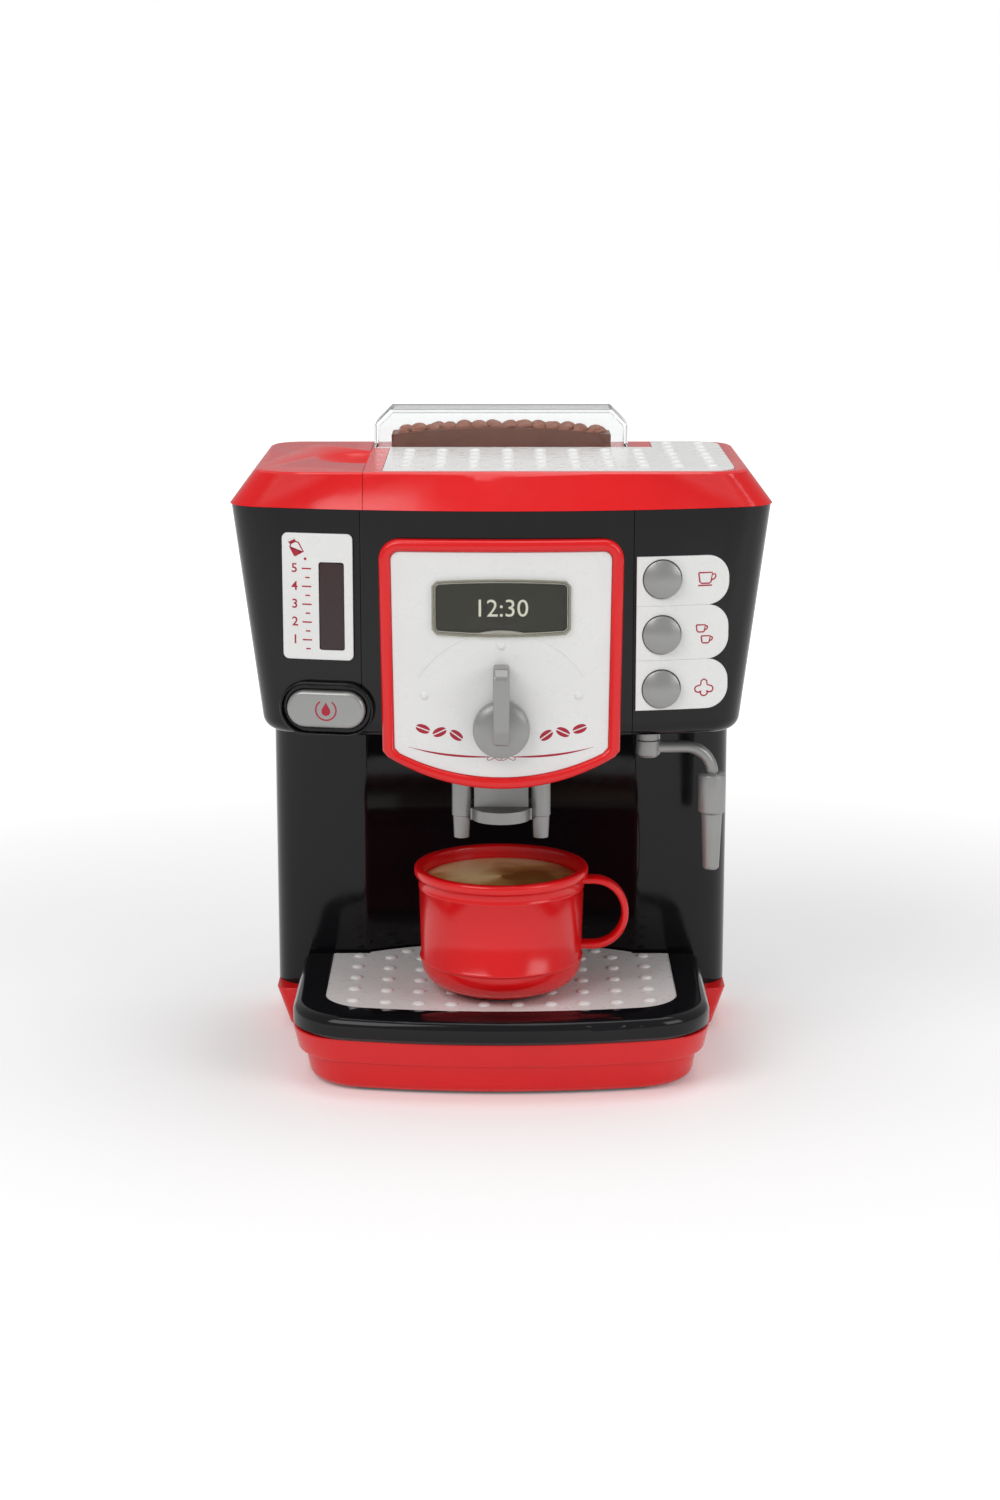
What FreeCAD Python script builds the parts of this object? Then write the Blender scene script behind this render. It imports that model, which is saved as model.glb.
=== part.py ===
# Toy coffee maker: a play espresso machine in moulded plastic.
# Red base and lid, black casings, a lift-off tank lid, a turning selector knob, three push
# buttons, a pump button, a swinging steam pipe, a slide-out drip tray and a cup with coffee.
# Millimetres, +X to the viewer's right, +Y towards the back, +Z up. The origin is on the
# table, under the middle of the machine.
import FreeCAD, Part
import math
import os
import re
import Sketcher
from FreeCAD import Placement, Rotation, Vector

doc = FreeCAD.newDocument("toy_coffee_maker")
sizes = doc.addObject("Spreadsheet::Sheet", "sizes")

SIZES = {
    # casing walls and fits
    "wall": 2.2,
    "least_corner": 0.5,
    "over": 1.0,
    "gap": 0.2,
    "slip": 0.35,
    "running_fit": 0.05,
    "case_back": 72.0,
    "back_corner": 12.0,
    "split": 56.0,
    # head: the wide black housing that narrows downwards
    "head_bottom": 143.4,
    "head_top": 233.0,
    "head_half_low": 94.0,
    "head_half_high": 105.9,
    "head_front": -54.0,
    "front_bow": 344.0,
    "head_corner": 16.0,
    "head_round": 6.0,
    "apron_back": -2.0,
    # columns and the hollow back wall between them
    "column_half": 96.0,
    "column_inner": 57.5,
    "column_front": 29.5,
    "column_corner": 15.0,
    "column_bottom": 18.0,
    "bay_back": 44.0,
    # red base in two steps, with a wider rear part under the columns
    "foot_drop": 0.8,
    "lower_half": 77.5,
    "lower_front": -61.0,
    "lower_top": 13.0,
    "upper_half": 82.0,
    "upper_front": -66.0,
    "upper_top": 24.0,
    "tier_flare": 2.0,
    "tier_rake": 4.0,
    "rear_half": 90.0,
    "rear_front": 24.0,
    "base_bow": 300.0,
    "base_corner": 24.0,
    "plate_thick": 2.2,
    "foot_radius": 6.0,
    # battery compartment in the underside
    "cell_radius": 7.25,
    "cell_length": 50.5,
    "cell_pitch": 15.6,
    "cell_count": 3,
    "box_wall": 1.5,
    "contact_thick": 0.6,
    "contact_width": 10.0,
    "door_margin": 3.0,
    # screws
    "screw_radius": 1.5,
    "screw_length": 10.0,
    "screw_head_radius": 2.9,
    "screw_head_height": 1.6,
    "post_radius": 4.4,
    "front_post_x": 60.0,
    "front_post_y": -38.0,
    "rear_post_x": 78.0,
    "rear_post_y": 50.0,
    "case_post_low": 46.0,
    "case_post_mid": 118.0,
    "case_post_high": 215.0,
    "case_post_x": 78.0,
    "case_post_inset": 17.0,
    # lid, deck plate and the bean hopper
    "lid_half": 106.5,
    "deck": 247.0,
    "deck_half": 95.0,
    "deck_front": -43.4,
    "deck_back": 65.0,
    "deck_edge": 1.4,
    "lid_seam": -53.5,
    "lid_lift_gap": 0.1,
    "scoop_radius": 22.0,
    "scoop_depth": 6.0,
    "scoop_y": 7.5,
    "deck_plate_left": -46.0,
    "deck_plate_right": 91.0,
    "deck_plate_front": -41.0,
    "deck_plate_step_y": 39.6,
    "deck_plate_step_x": 62.6,
    "deck_plate_back": 62.0,
    "deck_plate_corner": 11.0,
    "deck_plate_thick": 1.4,
    "deck_plate_sink": 0.9,
    "bump_pitch_x": 13.3,
    "bump_pitch_y": 13.5,
    "bump_radius": 2.7,
    "bump_height": 1.0,
    "hopper_half": 52.5,
    "hopper_front": 40.0,
    "hopper_back": 64.0,
    "hopper_top": 262.9,
    "hopper_wall": 1.5,
    "hopper_chamfer": 6.6,
    "bean_half": 46.5,
    "bean_front": 43.0,
    "bean_back": 62.0,
    "bean_edge": 255.4,
    "bean_crown": 258.2,
    "bean_length": 9.0,
    "bean_width": 5.4,
    "bean_height": 1.9,
    "bean_turn": 24.0,
    # bezel and face panel
    "bezel_half": 47.3,
    "bezel_half_low": 46.3,
    "bezel_top": 222.4,
    "bezel_side": 138.0,
    "bezel_bottom": 124.6,
    "bezel_corner": 8.0,
    "bezel_frame": 4.6,
    "bezel_proud": 4.5,
    "panel_proud": 3.2,
    "display_half": 25.65,
    "display_z": 196.2,
    "display_height": 18.4,
    "display_bulge": 0.9,
    "lens_proud": 4.3,
    "lens_back": 1.8,
    "card_proud": 1.6,
    # selector knob
    "knob_z": 149.0,
    "knob_radius": 11.0,
    "knob_depth": 7.5,
    "knob_crown": 1.6,
    "grip_width": 6.3,
    "grip_reach": 25.4,
    "grip_front": -71.0,
    "grip_low": 5.0,
    "shaft_radius": 3.0,
    "shaft_back": -43.5,
    "switch_radius": 8.0,
    "switch_back": -42.0,
    "stud_ring": 32.4,
    "stud_angle": 67.0,
    "stud_radius": 1.7,
    "stud_proud": 0.7,
    # level plate and its window
    "level_left": -85.0,
    "level_right": -57.4,
    "level_low": 174.3,
    "level_high": 223.7,
    "level_corner": 3.0,
    "plate_proud": 1.5,
    "window_left": -70.7,
    "window_right": -60.8,
    "window_low": 178.1,
    "window_high": 212.6,
    "window_proud": 0.8,
    # right-hand plate with three round buttons
    "keys_left": 52.3,
    "keys_right": 88.6,
    "keys_low": 154.6,
    "keys_high": 215.0,
    "keys_corner": 9.0,
    "keys_notch_low": 174.3,
    "keys_notch_high": 195.7,
    "key_radius": 7.35,
    "key_flange": 8.6,
    "key_flange_thick": 1.6,
    "key_flange_y": -44.0,
    "key_x": 62.3,
    "key_low_z": 163.0,
    "key_mid_z": 184.4,
    "key_high_z": 206.2,
    "key_proud": 1.4,
    "key_dome": 1.7,
    "key_stem": 3.0,
    "dome_height": 2.7,
    # circuit board
    "board_front": -36.0,
    "board_thick": 1.6,
    "board_left": -40.0,
    "board_right": 80.0,
    "board_low": 158.0,
    "board_high": 220.0,
    # pump button and its black dish
    "pump_x": -68.4,
    "pump_z": 154.85,
    "pump_half": 15.5,
    "pump_height": 14.5,
    "pump_proud": 4.2,
    "pump_back": -39.5,
    "pump_travel": 3.0,
    "pump_edge": 1.6,
    "dish_half": 18.6,
    "dish_height": 21.4,
    "dish_proud": 3.0,
    "dish_inner": 2.0,
    "stem_radius": 4.0,
    "bellows_front": -35.7,
    "bellows_back": -14.0,
    "bellows_radius": 8.4,
    "bellows_wall": 1.2,
    "valve_back": 2.0,
    # water tank and hose
    "tank_left": -92.0,
    "tank_right": -57.0,
    "tank_front": -29.0,
    "tank_back": 45.0,
    "tank_low": 172.0,
    "tank_high": 230.0,
    "tank_wall": 1.6,
    "tank_corner": 4.0,
    "rib_thick": 2.5,
    "rib_front_y": 10.0,
    "rib_back_y": 40.0,
    "hose_radius": 2.5,
    "hose_bore": 1.6,
    "hose_back": 34.0,
    "hose_bend": 13.0,
    "spigot_length": 5.0,
    # brew head and spouts
    "brew_y": -22.0,
    "brew_block_half": 11.0,
    "brew_block_front": -23.0,
    "brew_block_back": -8.0,
    "brew_block_top": 160.0,
    "shelf_low": 104.0,
    "shelf_high": 109.0,
    "shelf_radius": 12.0,
    "shelf_y": -21.0,
    "spout_x": 16.0,
    "spout_tube_radius": 3.9,
    "spout_tube_low": 105.8,
    "spout_tube_high": 133.0,
    "spout_radius": 3.5,
    "spout_tip_radius": 3.1,
    "spout_tip": 96.6,
    "spout_bore": 1.8,
    # steam pipe
    "steam_x": 58.8,
    "steam_y": -25.0,
    "steam_pipe_z": 134.6,
    "steam_hub_low": 130.6,
    "steam_hub_high": 137.4,
    "steam_hub_radius": 4.8,
    "socket_flange": 6.4,
    "socket_low": 137.7,
    "pivot_radius": 2.3,
    "pivot_top": 142.6,
    "pipe_radius": 2.4,
    "pipe_reach": 25.9,
    "pipe_bend": 11.0,
    "sleeve_radius": 5.5,
    "sleeve_low": 107.4,
    "sleeve_high": 124.0,
    "sleeve_edge": 0.8,
    "nozzle_radius": 4.2,
    "nozzle_tip_radius": 3.3,
    "nozzle_low": 84.0,
    "nozzle_bore": 1.2,
    # drip tray and its grille
    "tray_half": 84.0,
    "tray_front": -71.5,
    "tray_back": 28.0,
    "tray_corner": 27.0,
    "tray_top": 33.5,
    "tray_round": 4.0,
    "tray_under_edge": 1.5,
    "tray_floor": 2.0,
    "grille_half": 71.5,
    "grille_front": -56.0,
    "grille_back": 27.0,
    "grille_corner": 20.0,
    "grille_ledge": 3.0,
    "grille_thick": 2.0,
    "grille_top": 33.0,
    "grille_pitch_x": 13.3,
    "grille_pitch_y": 15.5,
    # cup with its coffee
    "cup_y": -22.0,
    "cup_foot": 34.1,
    "cup_rim": 85.0,
    "cup_rim_radius": 35.3,
    "cup_radius": 33.5,
    "cup_waist_radius": 32.6,
    "cup_foot_radius": 21.0,
    "cup_foot_height": 1.6,
    "cup_foot_ring": 1.0,
    "cup_lip_height": 4.2,
    "cup_wall": 1.9,
    "cup_round": 10.0,
    "cup_bead": 0.7,
    "coffee_top": 79.9,
    "coffee_thick": 2.0,
    "handle_reach": 52.0,
    "handle_low": 50.0,
    "handle_high": 80.5,
    "handle_thick": 3.0,
    "handle_width": 8.0,
    # speaker on the inside of the rear casing
    "speaker_z": 186.0,
    "speaker_radius": 16.0,
    "speaker_depth": 6.0,
    "sound_hole": 1.3,
    "sound_pitch": 7.0,
    "vent_length": 44.0,
    "vent_height": 2.2,
    "vent_pitch": 6.5,
    "vent_low": 60.0,
    "vent_count": 5,
}

for row, (word, amount) in enumerate(SIZES.items(), start=1):
    sizes.set(f"A{row}", word.replace("_", " "))
    sizes.set(f"B{row}", str(amount))
    sizes.setAlias(f"B{row}", word)
doc.recompute()

Q = type("Sizes", (), {word: float(sizes.get(word)) for word in SIZES})
WORD = re.compile(r"[a-z][a-z_]*")
UP = Vector(0, 0, 1)
BACKWARDS = Vector(0, 1, 0)
subparts = {}


def keep(label, item):
    """Name a finished sub-part; its label is also the name of its file."""
    item.Label = label
    subparts[label] = item
    return item


def keep_shape(label, shape):
    """Store a shape that was worked out here as a sub-part."""
    feature = doc.addObject("Part::Feature", label)
    feature.Shape = shape.removeSplitter()
    feature.Placement = Placement()
    return keep(label, feature)


def bind(item, **formulas):
    """Tie properties of an object to the sheet; Base_x stands for Placement.Base.x."""
    for name, text in formulas.items():
        path = name.replace("Base_", "Placement.Base.")
        item.setExpression(path, WORD.sub(lambda found: "sizes." + found.group(0), text))
    return item


def block(name, x, y, z):
    """Box between two formulas along each axis."""
    box = doc.addObject("Part::Box", name)
    return bind(box, Length=f"({x[1]}) - ({x[0]})", Width=f"({y[1]}) - ({y[0]})",
                Height=f"({z[1]}) - ({z[0]})", Base_x=x[0], Base_y=y[0], Base_z=z[0])


def rod(name, radius, length, foot, along=UP):
    """Cylinder of a radius and a length that starts at foot."""
    cylinder = doc.addObject("Part::Cylinder", name)
    cylinder.Placement = Placement(Vector(), Rotation(UP, along))
    return bind(cylinder, Radius=radius, Height=length, Base_x=foot[0], Base_y=foot[1],
                Base_z=foot[2])


def prism(name, sides, radius, length, foot, along=UP):
    """Upright prism with flat sides that starts at foot."""
    bar = doc.addObject("Part::Prism", name)
    bar.Polygon = sides
    bar.Placement = Placement(Vector(), Rotation(UP, along))
    return bind(bar, Circumradius=radius, Height=length, Base_x=foot[0], Base_y=foot[1],
                Base_z=foot[2])


def taper(name, low_radius, high_radius, length, foot, along=UP):
    """Cone between two radii that starts at foot."""
    cone = doc.addObject("Part::Cone", name)
    cone.Placement = Placement(Vector(), Rotation(UP, along))
    return bind(cone, Radius1=low_radius, Radius2=high_radius, Height=length, Base_x=foot[0],
                Base_y=foot[1], Base_z=foot[2])


def fused(name, *items):
    union = doc.addObject("Part::MultiFuse", name)
    union.Shapes = list(items)
    return union


def cut(name, base, *tools):
    """Base less its tools, which are fused first where there is more than one."""
    difference = doc.addObject("Part::Cut", name)
    difference.Base = base
    difference.Tool = tools[0] if len(tools) == 1 else fused(name + "_tools", *tools)
    return difference


def group(name, items):
    """Separate solids that share one node, such as a set of screws."""
    bundle = doc.addObject("Part::Compound", name)
    bundle.Links = list(items)
    return bundle


def turned(label, points, x, y, z="0"):
    """Body turned about its own upright axis from a closed outline of (radius, height)."""
    body = doc.addObject("PartDesign::Body", label)
    sketch = body.newObject("Sketcher::SketchObject", label + "_outline")
    plane = next(item for item in body.Origin.OriginFeatures if item.Role == "XZ_Plane")
    sketch.AttachmentSupport = [(plane, "")]
    sketch.MapMode = "FlatFace"
    count = len(points)
    spots = [Vector(math.cos(math.tau * i / count), math.sin(math.tau * i / count), 0)
             for i in range(count)]
    for i in range(count):
        sketch.addGeometry(Part.LineSegment(spots[i], spots[(i + 1) % count]))
    for i in range(count):
        sketch.addConstraint(Sketcher.Constraint("Coincident", i, 2, (i + 1) % count, 1))
    for i, pair in enumerate(points):
        for kind, text, start in zip(("DistanceX", "DistanceY"), pair, (spots[i].x, spots[i].y)):
            index = sketch.addConstraint(Sketcher.Constraint(kind, -1, 1, i, 1, start))
            bind(sketch, **{f"Constraints[{index}]": text})
    turning = body.newObject("PartDesign::Revolution", label + "_turning")
    turning.Profile = sketch
    turning.ReferenceAxis = (sketch, ["V_Axis"])
    turning.Angle = 360
    body.Tip = turning
    bind(body, Base_x=x, Base_y=y, Base_z=z)
    return body


def join(base, others):
    """Fuse one shape, or several in a list, to a base."""
    base = base.Solids[0] if len(base.Solids) == 1 else base
    return base.fuse(others)


def edge_line(start, end):
    return Part.LineSegment(start, end).toShape()


def polygon(points):
    """Closed flat face through points."""
    return Part.Face(Part.makePolygon(list(points) + [points[0]]))


def box_between(low, high):
    return Part.makeBox(high[0] - low[0], high[1] - low[1], high[2] - low[2], Vector(*low))


def corner_arc(centre, radius, start, end):
    """Round a corner: the short arc about a centre between two directions."""
    middle = (start + end).normalize()
    return Part.Arc(centre + start * radius, centre + middle * radius,
                    centre + end * radius).toShape()


def corner_flat(centre, radius, start, end):
    """Cut a corner straight: used inside a wall, where the outer corner is round."""
    return edge_line(centre + start * radius, centre + end * radius)


def bowed_outline(half, front, back, bow, level, front_corner, back_corner, turn=corner_arc):
    """Level outline whose front edge bulges with the radius bow, with round or flat corners."""
    left, right, near, far = Vector(-1, 0), Vector(1, 0), Vector(0, -1), Vector(0, 1)
    hub = Vector(0, front + bow, level)
    drop = math.sqrt((bow - front_corner)**2 - (half - front_corner)**2)
    centre_right = Vector(half - front_corner, hub.y - drop, level)
    centre_left = Vector(-centre_right.x, centre_right.y, level)
    out_right = (centre_right - hub).normalize()
    out_left = (centre_left - hub).normalize()
    rear_right = Vector(half - back_corner, back - back_corner, level)
    rear_left = Vector(-rear_right.x, rear_right.y, level)
    return Part.Wire([
        Part.Arc(hub + out_left * bow, hub + near * bow, hub + out_right * bow).toShape(),
        turn(centre_right, front_corner, out_right, right),
        edge_line(centre_right + right * front_corner, rear_right + right * back_corner),
        turn(rear_right, back_corner, right, far),
        edge_line(rear_right + far * back_corner, rear_left + far * back_corner),
        turn(rear_left, back_corner, far, left),
        edge_line(rear_left + left * back_corner, centre_left + left * front_corner),
        turn(centre_left, front_corner, left, out_left)])


def spread(vertexes):
    """Height between the lowest and the highest of some corners."""
    return max(point.Z for point in vertexes) - min(point.Z for point in vertexes)


def upright_edges(solid, test):
    """Edges that climb through the solid and whose middle passes the test."""
    height = spread(solid.Vertexes)
    return [edge for edge in solid.Edges
            if spread(edge.Vertexes) > 0.9 * height and test(edge.CenterOfMass)]


def level_edges(solid, level):
    """Edges that lie in one level plane."""
    return [edge for edge in solid.Edges
            if edge.BoundBox.ZLength < 0.01 and abs(edge.CenterOfMass.z - level) < 0.01]


def ruled_loft(low, high):
    """Solid between two outlines that have the same edges."""
    return Part.makeLoft([low, high], True, True)


def inset_corner(radius, inset):
    """Radius of a corner that has been drawn in, down to the least that a mould makes."""
    return max(radius - inset, Q.least_corner)


def eased(solid, radius, inset, edges):
    """Round the edges of an outer block, or cut those of its hollow flat."""
    size = inset_corner(radius, inset)
    return solid.makeChamfer(size, edges) if inset else solid.makeFillet(size, edges)


# The head is a tapered box with a bowed front. The same block, drawn in by the wall,
# is its hollow.
def head_half(level):
    rise = (level - Q.head_bottom) / (Q.head_top - Q.head_bottom)
    return Q.head_half_low + rise * (Q.head_half_high - Q.head_half_low)


def tapered_box(half_low, half_high, front, back, low, high):
    """Flat-sided box whose sides lean outwards."""
    ring = [[Vector(side * half, y, level) for side, y in ((-1, front), (1, front), (1, back),
                                                           (-1, back))]
            for half, level in ((half_low, low), (half_high, high))]
    faces = [polygon(ring[0]), polygon(ring[1])]
    for i in range(4):
        j = (i + 1) % 4
        faces.append(polygon([ring[0][i], ring[0][j], ring[1][j], ring[1][i]]))
    return Part.Solid(Part.Shell(faces))


def head_block(inset, low, high):
    middle = (Q.head_front + Q.case_back) / 2
    box = tapered_box(head_half(low) - inset, head_half(high) - inset,
                      Q.head_front - Q.head_corner, Q.case_back - inset, low, high)
    solid = box.common(front_drum(-inset)).Solids[0]
    solid = eased(solid, Q.head_corner, inset, upright_edges(solid, lambda at: at.y < middle))
    solid = eased(solid, Q.back_corner, inset, upright_edges(
        solid, lambda at: at.y > Q.case_back - inset - Q.over))
    return eased(solid, Q.head_round, inset, level_edges(solid, low))


def front_drum(proud):
    """Upright drum whose front lies proud of the head's bowed face."""
    return Part.makeCylinder(Q.front_bow + proud, Q.deck - Q.upper_top,
                             Vector(0, Q.head_front + Q.front_bow, Q.upper_top))


def front_surface(x, proud=0.0):
    """Where the bowed front lies at a distance x from the middle."""
    bow = Q.front_bow + proud
    return Q.head_front + Q.front_bow - math.sqrt(bow**2 - x**2)


CARVE_FRONT = Q.head_front - 3 * Q.bezel_proud
CARVE_BACK = Q.head_front + Q.case_back / 2


def pushed_back(face):
    """Run a flat outline from in front of the machine back into the head."""
    return face.extrude(Vector(0, CARVE_BACK - CARVE_FRONT, 0))


def shield_face(inset, top=None):
    """Outline of the bezel: straight top and sides, and an arc below."""
    half = Q.bezel_half - inset
    half_low = Q.bezel_half_low - inset
    high = Q.bezel_top - inset if top is None else top
    side = Q.bezel_side + inset * 0.3
    low = Q.bezel_bottom + inset
    y = CARVE_FRONT
    corners = [Vector(-half_low, y, side), Vector(-half, y, high), Vector(half, y, high),
               Vector(half_low, y, side)]
    arc = Part.Arc(corners[3], Vector(0, y, low), corners[0]).toShape()
    sides = [edge_line(corners[i], corners[i + 1]) for i in range(3)]
    return Part.Face(Part.Wire(sides + [arc]))


def round_through(solid, radius, test):
    """Round the front-to-back edges whose middle passes the test."""
    depth = solid.BoundBox.YLength
    edges = [edge for edge in solid.Edges
             if edge.BoundBox.YLength > 0.9 * depth and test(edge.CenterOfMass)]
    return solid.makeFillet(radius, edges)


def shield_block(inset):
    solid = pushed_back(shield_face(inset))
    return round_through(solid, inset_corner(Q.bezel_corner, inset), lambda at: True)


def apron_block(inset):
    """Lower part of the head behind the bezel, which carries the brew head."""
    face = shield_face(Q.gap + inset, top=Q.head_bottom + 2 * Q.head_round)
    solid = face.extrude(Vector(0, Q.apron_back - inset - CARVE_FRONT, 0))
    return solid.common(front_drum(-inset))


HEAD_OUTER = head_block(0, Q.head_bottom, Q.head_top)
HEAD_INNER = head_block(Q.wall, Q.head_bottom + Q.wall, Q.head_top + Q.over)
FAR = 3 * Q.case_back
REAR_HALF_SPACE = box_between((-FAR, Q.split, -FAR), (FAR, FAR, 2 * FAR))
FRONT_HALF_SPACE = box_between((-FAR, -FAR, -FAR), (FAR, Q.split, 2 * FAR))


def stadium(x, z, half, height):
    """Long round-ended outline, lying flat against the front."""
    radius = height / 2
    run = half - radius
    y = CARVE_FRONT
    right, left = Vector(x + run, y, z), Vector(x - run, y, z)
    lift = Vector(0, 0, radius)
    side = Vector(radius, 0, 0)
    edges = [edge_line(left + lift, right + lift),
             Part.Arc(right + lift, right + side, right - lift).toShape(),
             edge_line(right - lift, left - lift),
             Part.Arc(left - lift, left - side, left + lift).toShape()]
    return Part.Face(Part.Wire(edges))


def display_face(inset):
    """Display opening: upright sides, with the top and bottom edges bulging a little."""
    half = Q.display_half - inset
    rise = Q.display_height / 2 - inset
    y = CARVE_FRONT
    corner = [Vector(sx * half, y, Q.display_z + sz * rise)
              for sx, sz in ((-1, 1), (1, 1), (1, -1), (-1, -1))]
    swell = rise + Q.display_bulge
    edges = [Part.Arc(corner[0], Vector(0, y, Q.display_z + swell), corner[1]).toShape(),
             edge_line(corner[1], corner[2]),
             Part.Arc(corner[2], Vector(0, y, Q.display_z - swell), corner[3]).toShape(),
             edge_line(corner[3], corner[0])]
    return Part.Face(Part.Wire(edges))


def rectangle_face(left, right, low, high):
    y = CARVE_FRONT
    return polygon([Vector(left, y, low), Vector(right, y, low), Vector(right, y, high),
                    Vector(left, y, high)])


def bore(x, z, radius, front=CARVE_FRONT, back=CARVE_BACK):
    return Part.makeCylinder(radius, back - front, Vector(x, front, z), BACKWARDS)


# The columns and the hollow back wall between them are one casing with a level outline.
def bay_arc(inset):
    """Centre and radius of the hollow wall between the columns."""
    sag = Q.bay_back - Q.column_front
    radius = (Q.column_inner**2 + sag**2) / (2 * sag)
    return Q.bay_back - radius, radius + inset


def column_block(inset, low, high):
    half = Q.column_half - inset
    front = Q.column_front + inset
    back = Q.case_back - inset
    centre, radius = bay_arc(inset)
    inner = math.sqrt(radius**2 - (front - centre)**2)
    spots = [Vector(inner, front, low), Vector(half, front, low), Vector(half, back, low),
             Vector(-half, back, low), Vector(-half, front, low), Vector(-inner, front, low)]
    edges = [edge_line(spots[i], spots[i + 1]) for i in range(5)]
    edges.append(Part.Arc(spots[5], Vector(0, centre + radius, low), spots[0]).toShape())
    solid = Part.Face(Part.Wire(edges)).extrude(Vector(0, 0, high - low))
    solid = eased(solid, Q.column_corner, inset, upright_edges(
        solid, lambda at: abs(at.x) > half - Q.over and at.y < front + Q.over))
    return eased(solid, Q.back_corner, inset,
                 upright_edges(solid, lambda at: at.y > back - Q.over))


COLUMN_OUTER = column_block(0, Q.column_bottom, Q.head_bottom)
COLUMN_INNER = column_block(Q.wall, Q.column_bottom - Q.over, Q.head_bottom + Q.over)


# Places of the screws that hold the rear casing: on the columns, and at the head's sides.
def case_posts():
    places = [(Q.case_post_x, Q.case_post_low), (Q.case_post_x, Q.case_post_mid),
              (head_half(Q.case_post_high) - Q.case_post_inset, Q.case_post_high)]
    return [(side * x, z) for x, z in places for side in (-1, 1)]


KEYS = {"single_cup_button": Q.key_high_z, "double_cup_button": Q.key_mid_z,
        "steam_button": Q.key_low_z}


def brew_hole():
    """Clearance for the brew head, which passes down through the head and its nose."""
    fit = Q.running_fit
    return box_between(
        (-Q.brew_block_half - fit, Q.brew_block_front - fit, Q.shelf_low),
        (Q.brew_block_half + fit, Q.brew_block_back + fit, Q.brew_block_top))


def head_nose():
    """Block behind the bezel that hangs below the head."""
    solid = apron_block(0).cut(apron_block(Q.wall)).cut(HEAD_OUTER).cut(brew_hole())
    solid = solid.cut(bore(0, Q.knob_z, Q.shaft_radius + Q.slip))
    for side in (-1, 1):
        solid = solid.cut(Part.makeCylinder(
            Q.spout_tube_radius + Q.running_fit, Q.spout_tube_high - Q.spout_tube_low,
            Vector(side * Q.spout_x, Q.brew_y, Q.spout_tube_low)))
    keep_shape("head_nose", solid)


def tank_rest():
    """Two ribs on the head's floor that carry the water tank; the hose passes the first."""
    ribs = [box_between((Q.tank_left + Q.tank_wall, level, Q.head_bottom + Q.wall),
                        (Q.tank_right, level + Q.rib_thick, Q.tank_low))
            for level in (Q.rib_front_y, Q.rib_back_y)]
    passage = bore(Q.pump_x, Q.pump_z, Q.hose_radius + Q.gap, Q.apron_back, Q.hose_back)
    inside = [rib.common(HEAD_INNER) for rib in (ribs[0].cut(passage), ribs[1])]
    keep_shape("tank_rest", Part.makeCompound(inside))


def head_shell():
    solid = HEAD_OUTER.cut(HEAD_INNER).common(FRONT_HALF_SPACE).cut(apron_block(Q.wall))
    for x in (Q.board_left + Q.post_radius, Q.board_right - Q.post_radius):
        for z in (Q.board_low + Q.post_radius, Q.board_high - Q.post_radius):
            front = front_surface(x) + Q.wall / 2
            solid = join(solid, bore(x, z, Q.post_radius / 2, front, Q.board_front))
    for x, z in case_posts():
        if z > Q.head_bottom:
            post = bore(x, z, Q.post_radius, Q.split - Q.screw_length, Q.split)
            web = box_between((min(x, math.copysign(head_half(z) - Q.wall / 2, x)),
                               Q.split - Q.screw_length, z - Q.rib_thick / 2),
                              (max(x, math.copysign(head_half(z) - Q.wall / 2, x)),
                               Q.split, z + Q.rib_thick / 2))
            solid = join(solid, [post, web])
            solid = solid.cut(bore(x, z, Q.screw_radius, Q.split - Q.screw_length + Q.over, FAR))
    for z in KEYS.values():
        solid = solid.cut(bore(Q.key_x, z, Q.key_radius + Q.slip))
    solid = solid.cut(bore(0, Q.knob_z, Q.shaft_radius + Q.slip))
    pill = pushed_back(stadium(Q.pump_x, Q.pump_z, Q.pump_half + Q.slip,
                               Q.pump_height + 2 * Q.slip))
    front_only = box_between((-FAR, -FAR, 0),
                             (FAR, Q.pump_back + Q.pump_travel + Q.over, FAR))
    solid = solid.cut(pill.common(front_only))
    window = pushed_back(rectangle_face(Q.window_left + Q.over, Q.window_right - Q.over,
                                        Q.window_low + Q.over, Q.window_high - Q.over))
    solid = solid.cut(window.common(front_only))
    keep_shape("head_shell", solid.cut(brew_hole()))


def body_shell():
    solid = COLUMN_OUTER.cut(COLUMN_INNER).common(FRONT_HALF_SPACE)
    for x, z in case_posts():
        if z < Q.head_bottom:
            solid = join(solid, bore(x, z, Q.post_radius, Q.column_front + Q.wall / 2, Q.split))
            solid = solid.cut(bore(x, z, Q.screw_radius, Q.split - Q.screw_length + Q.over, FAR))
    keep_shape("body_shell", solid)


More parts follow.
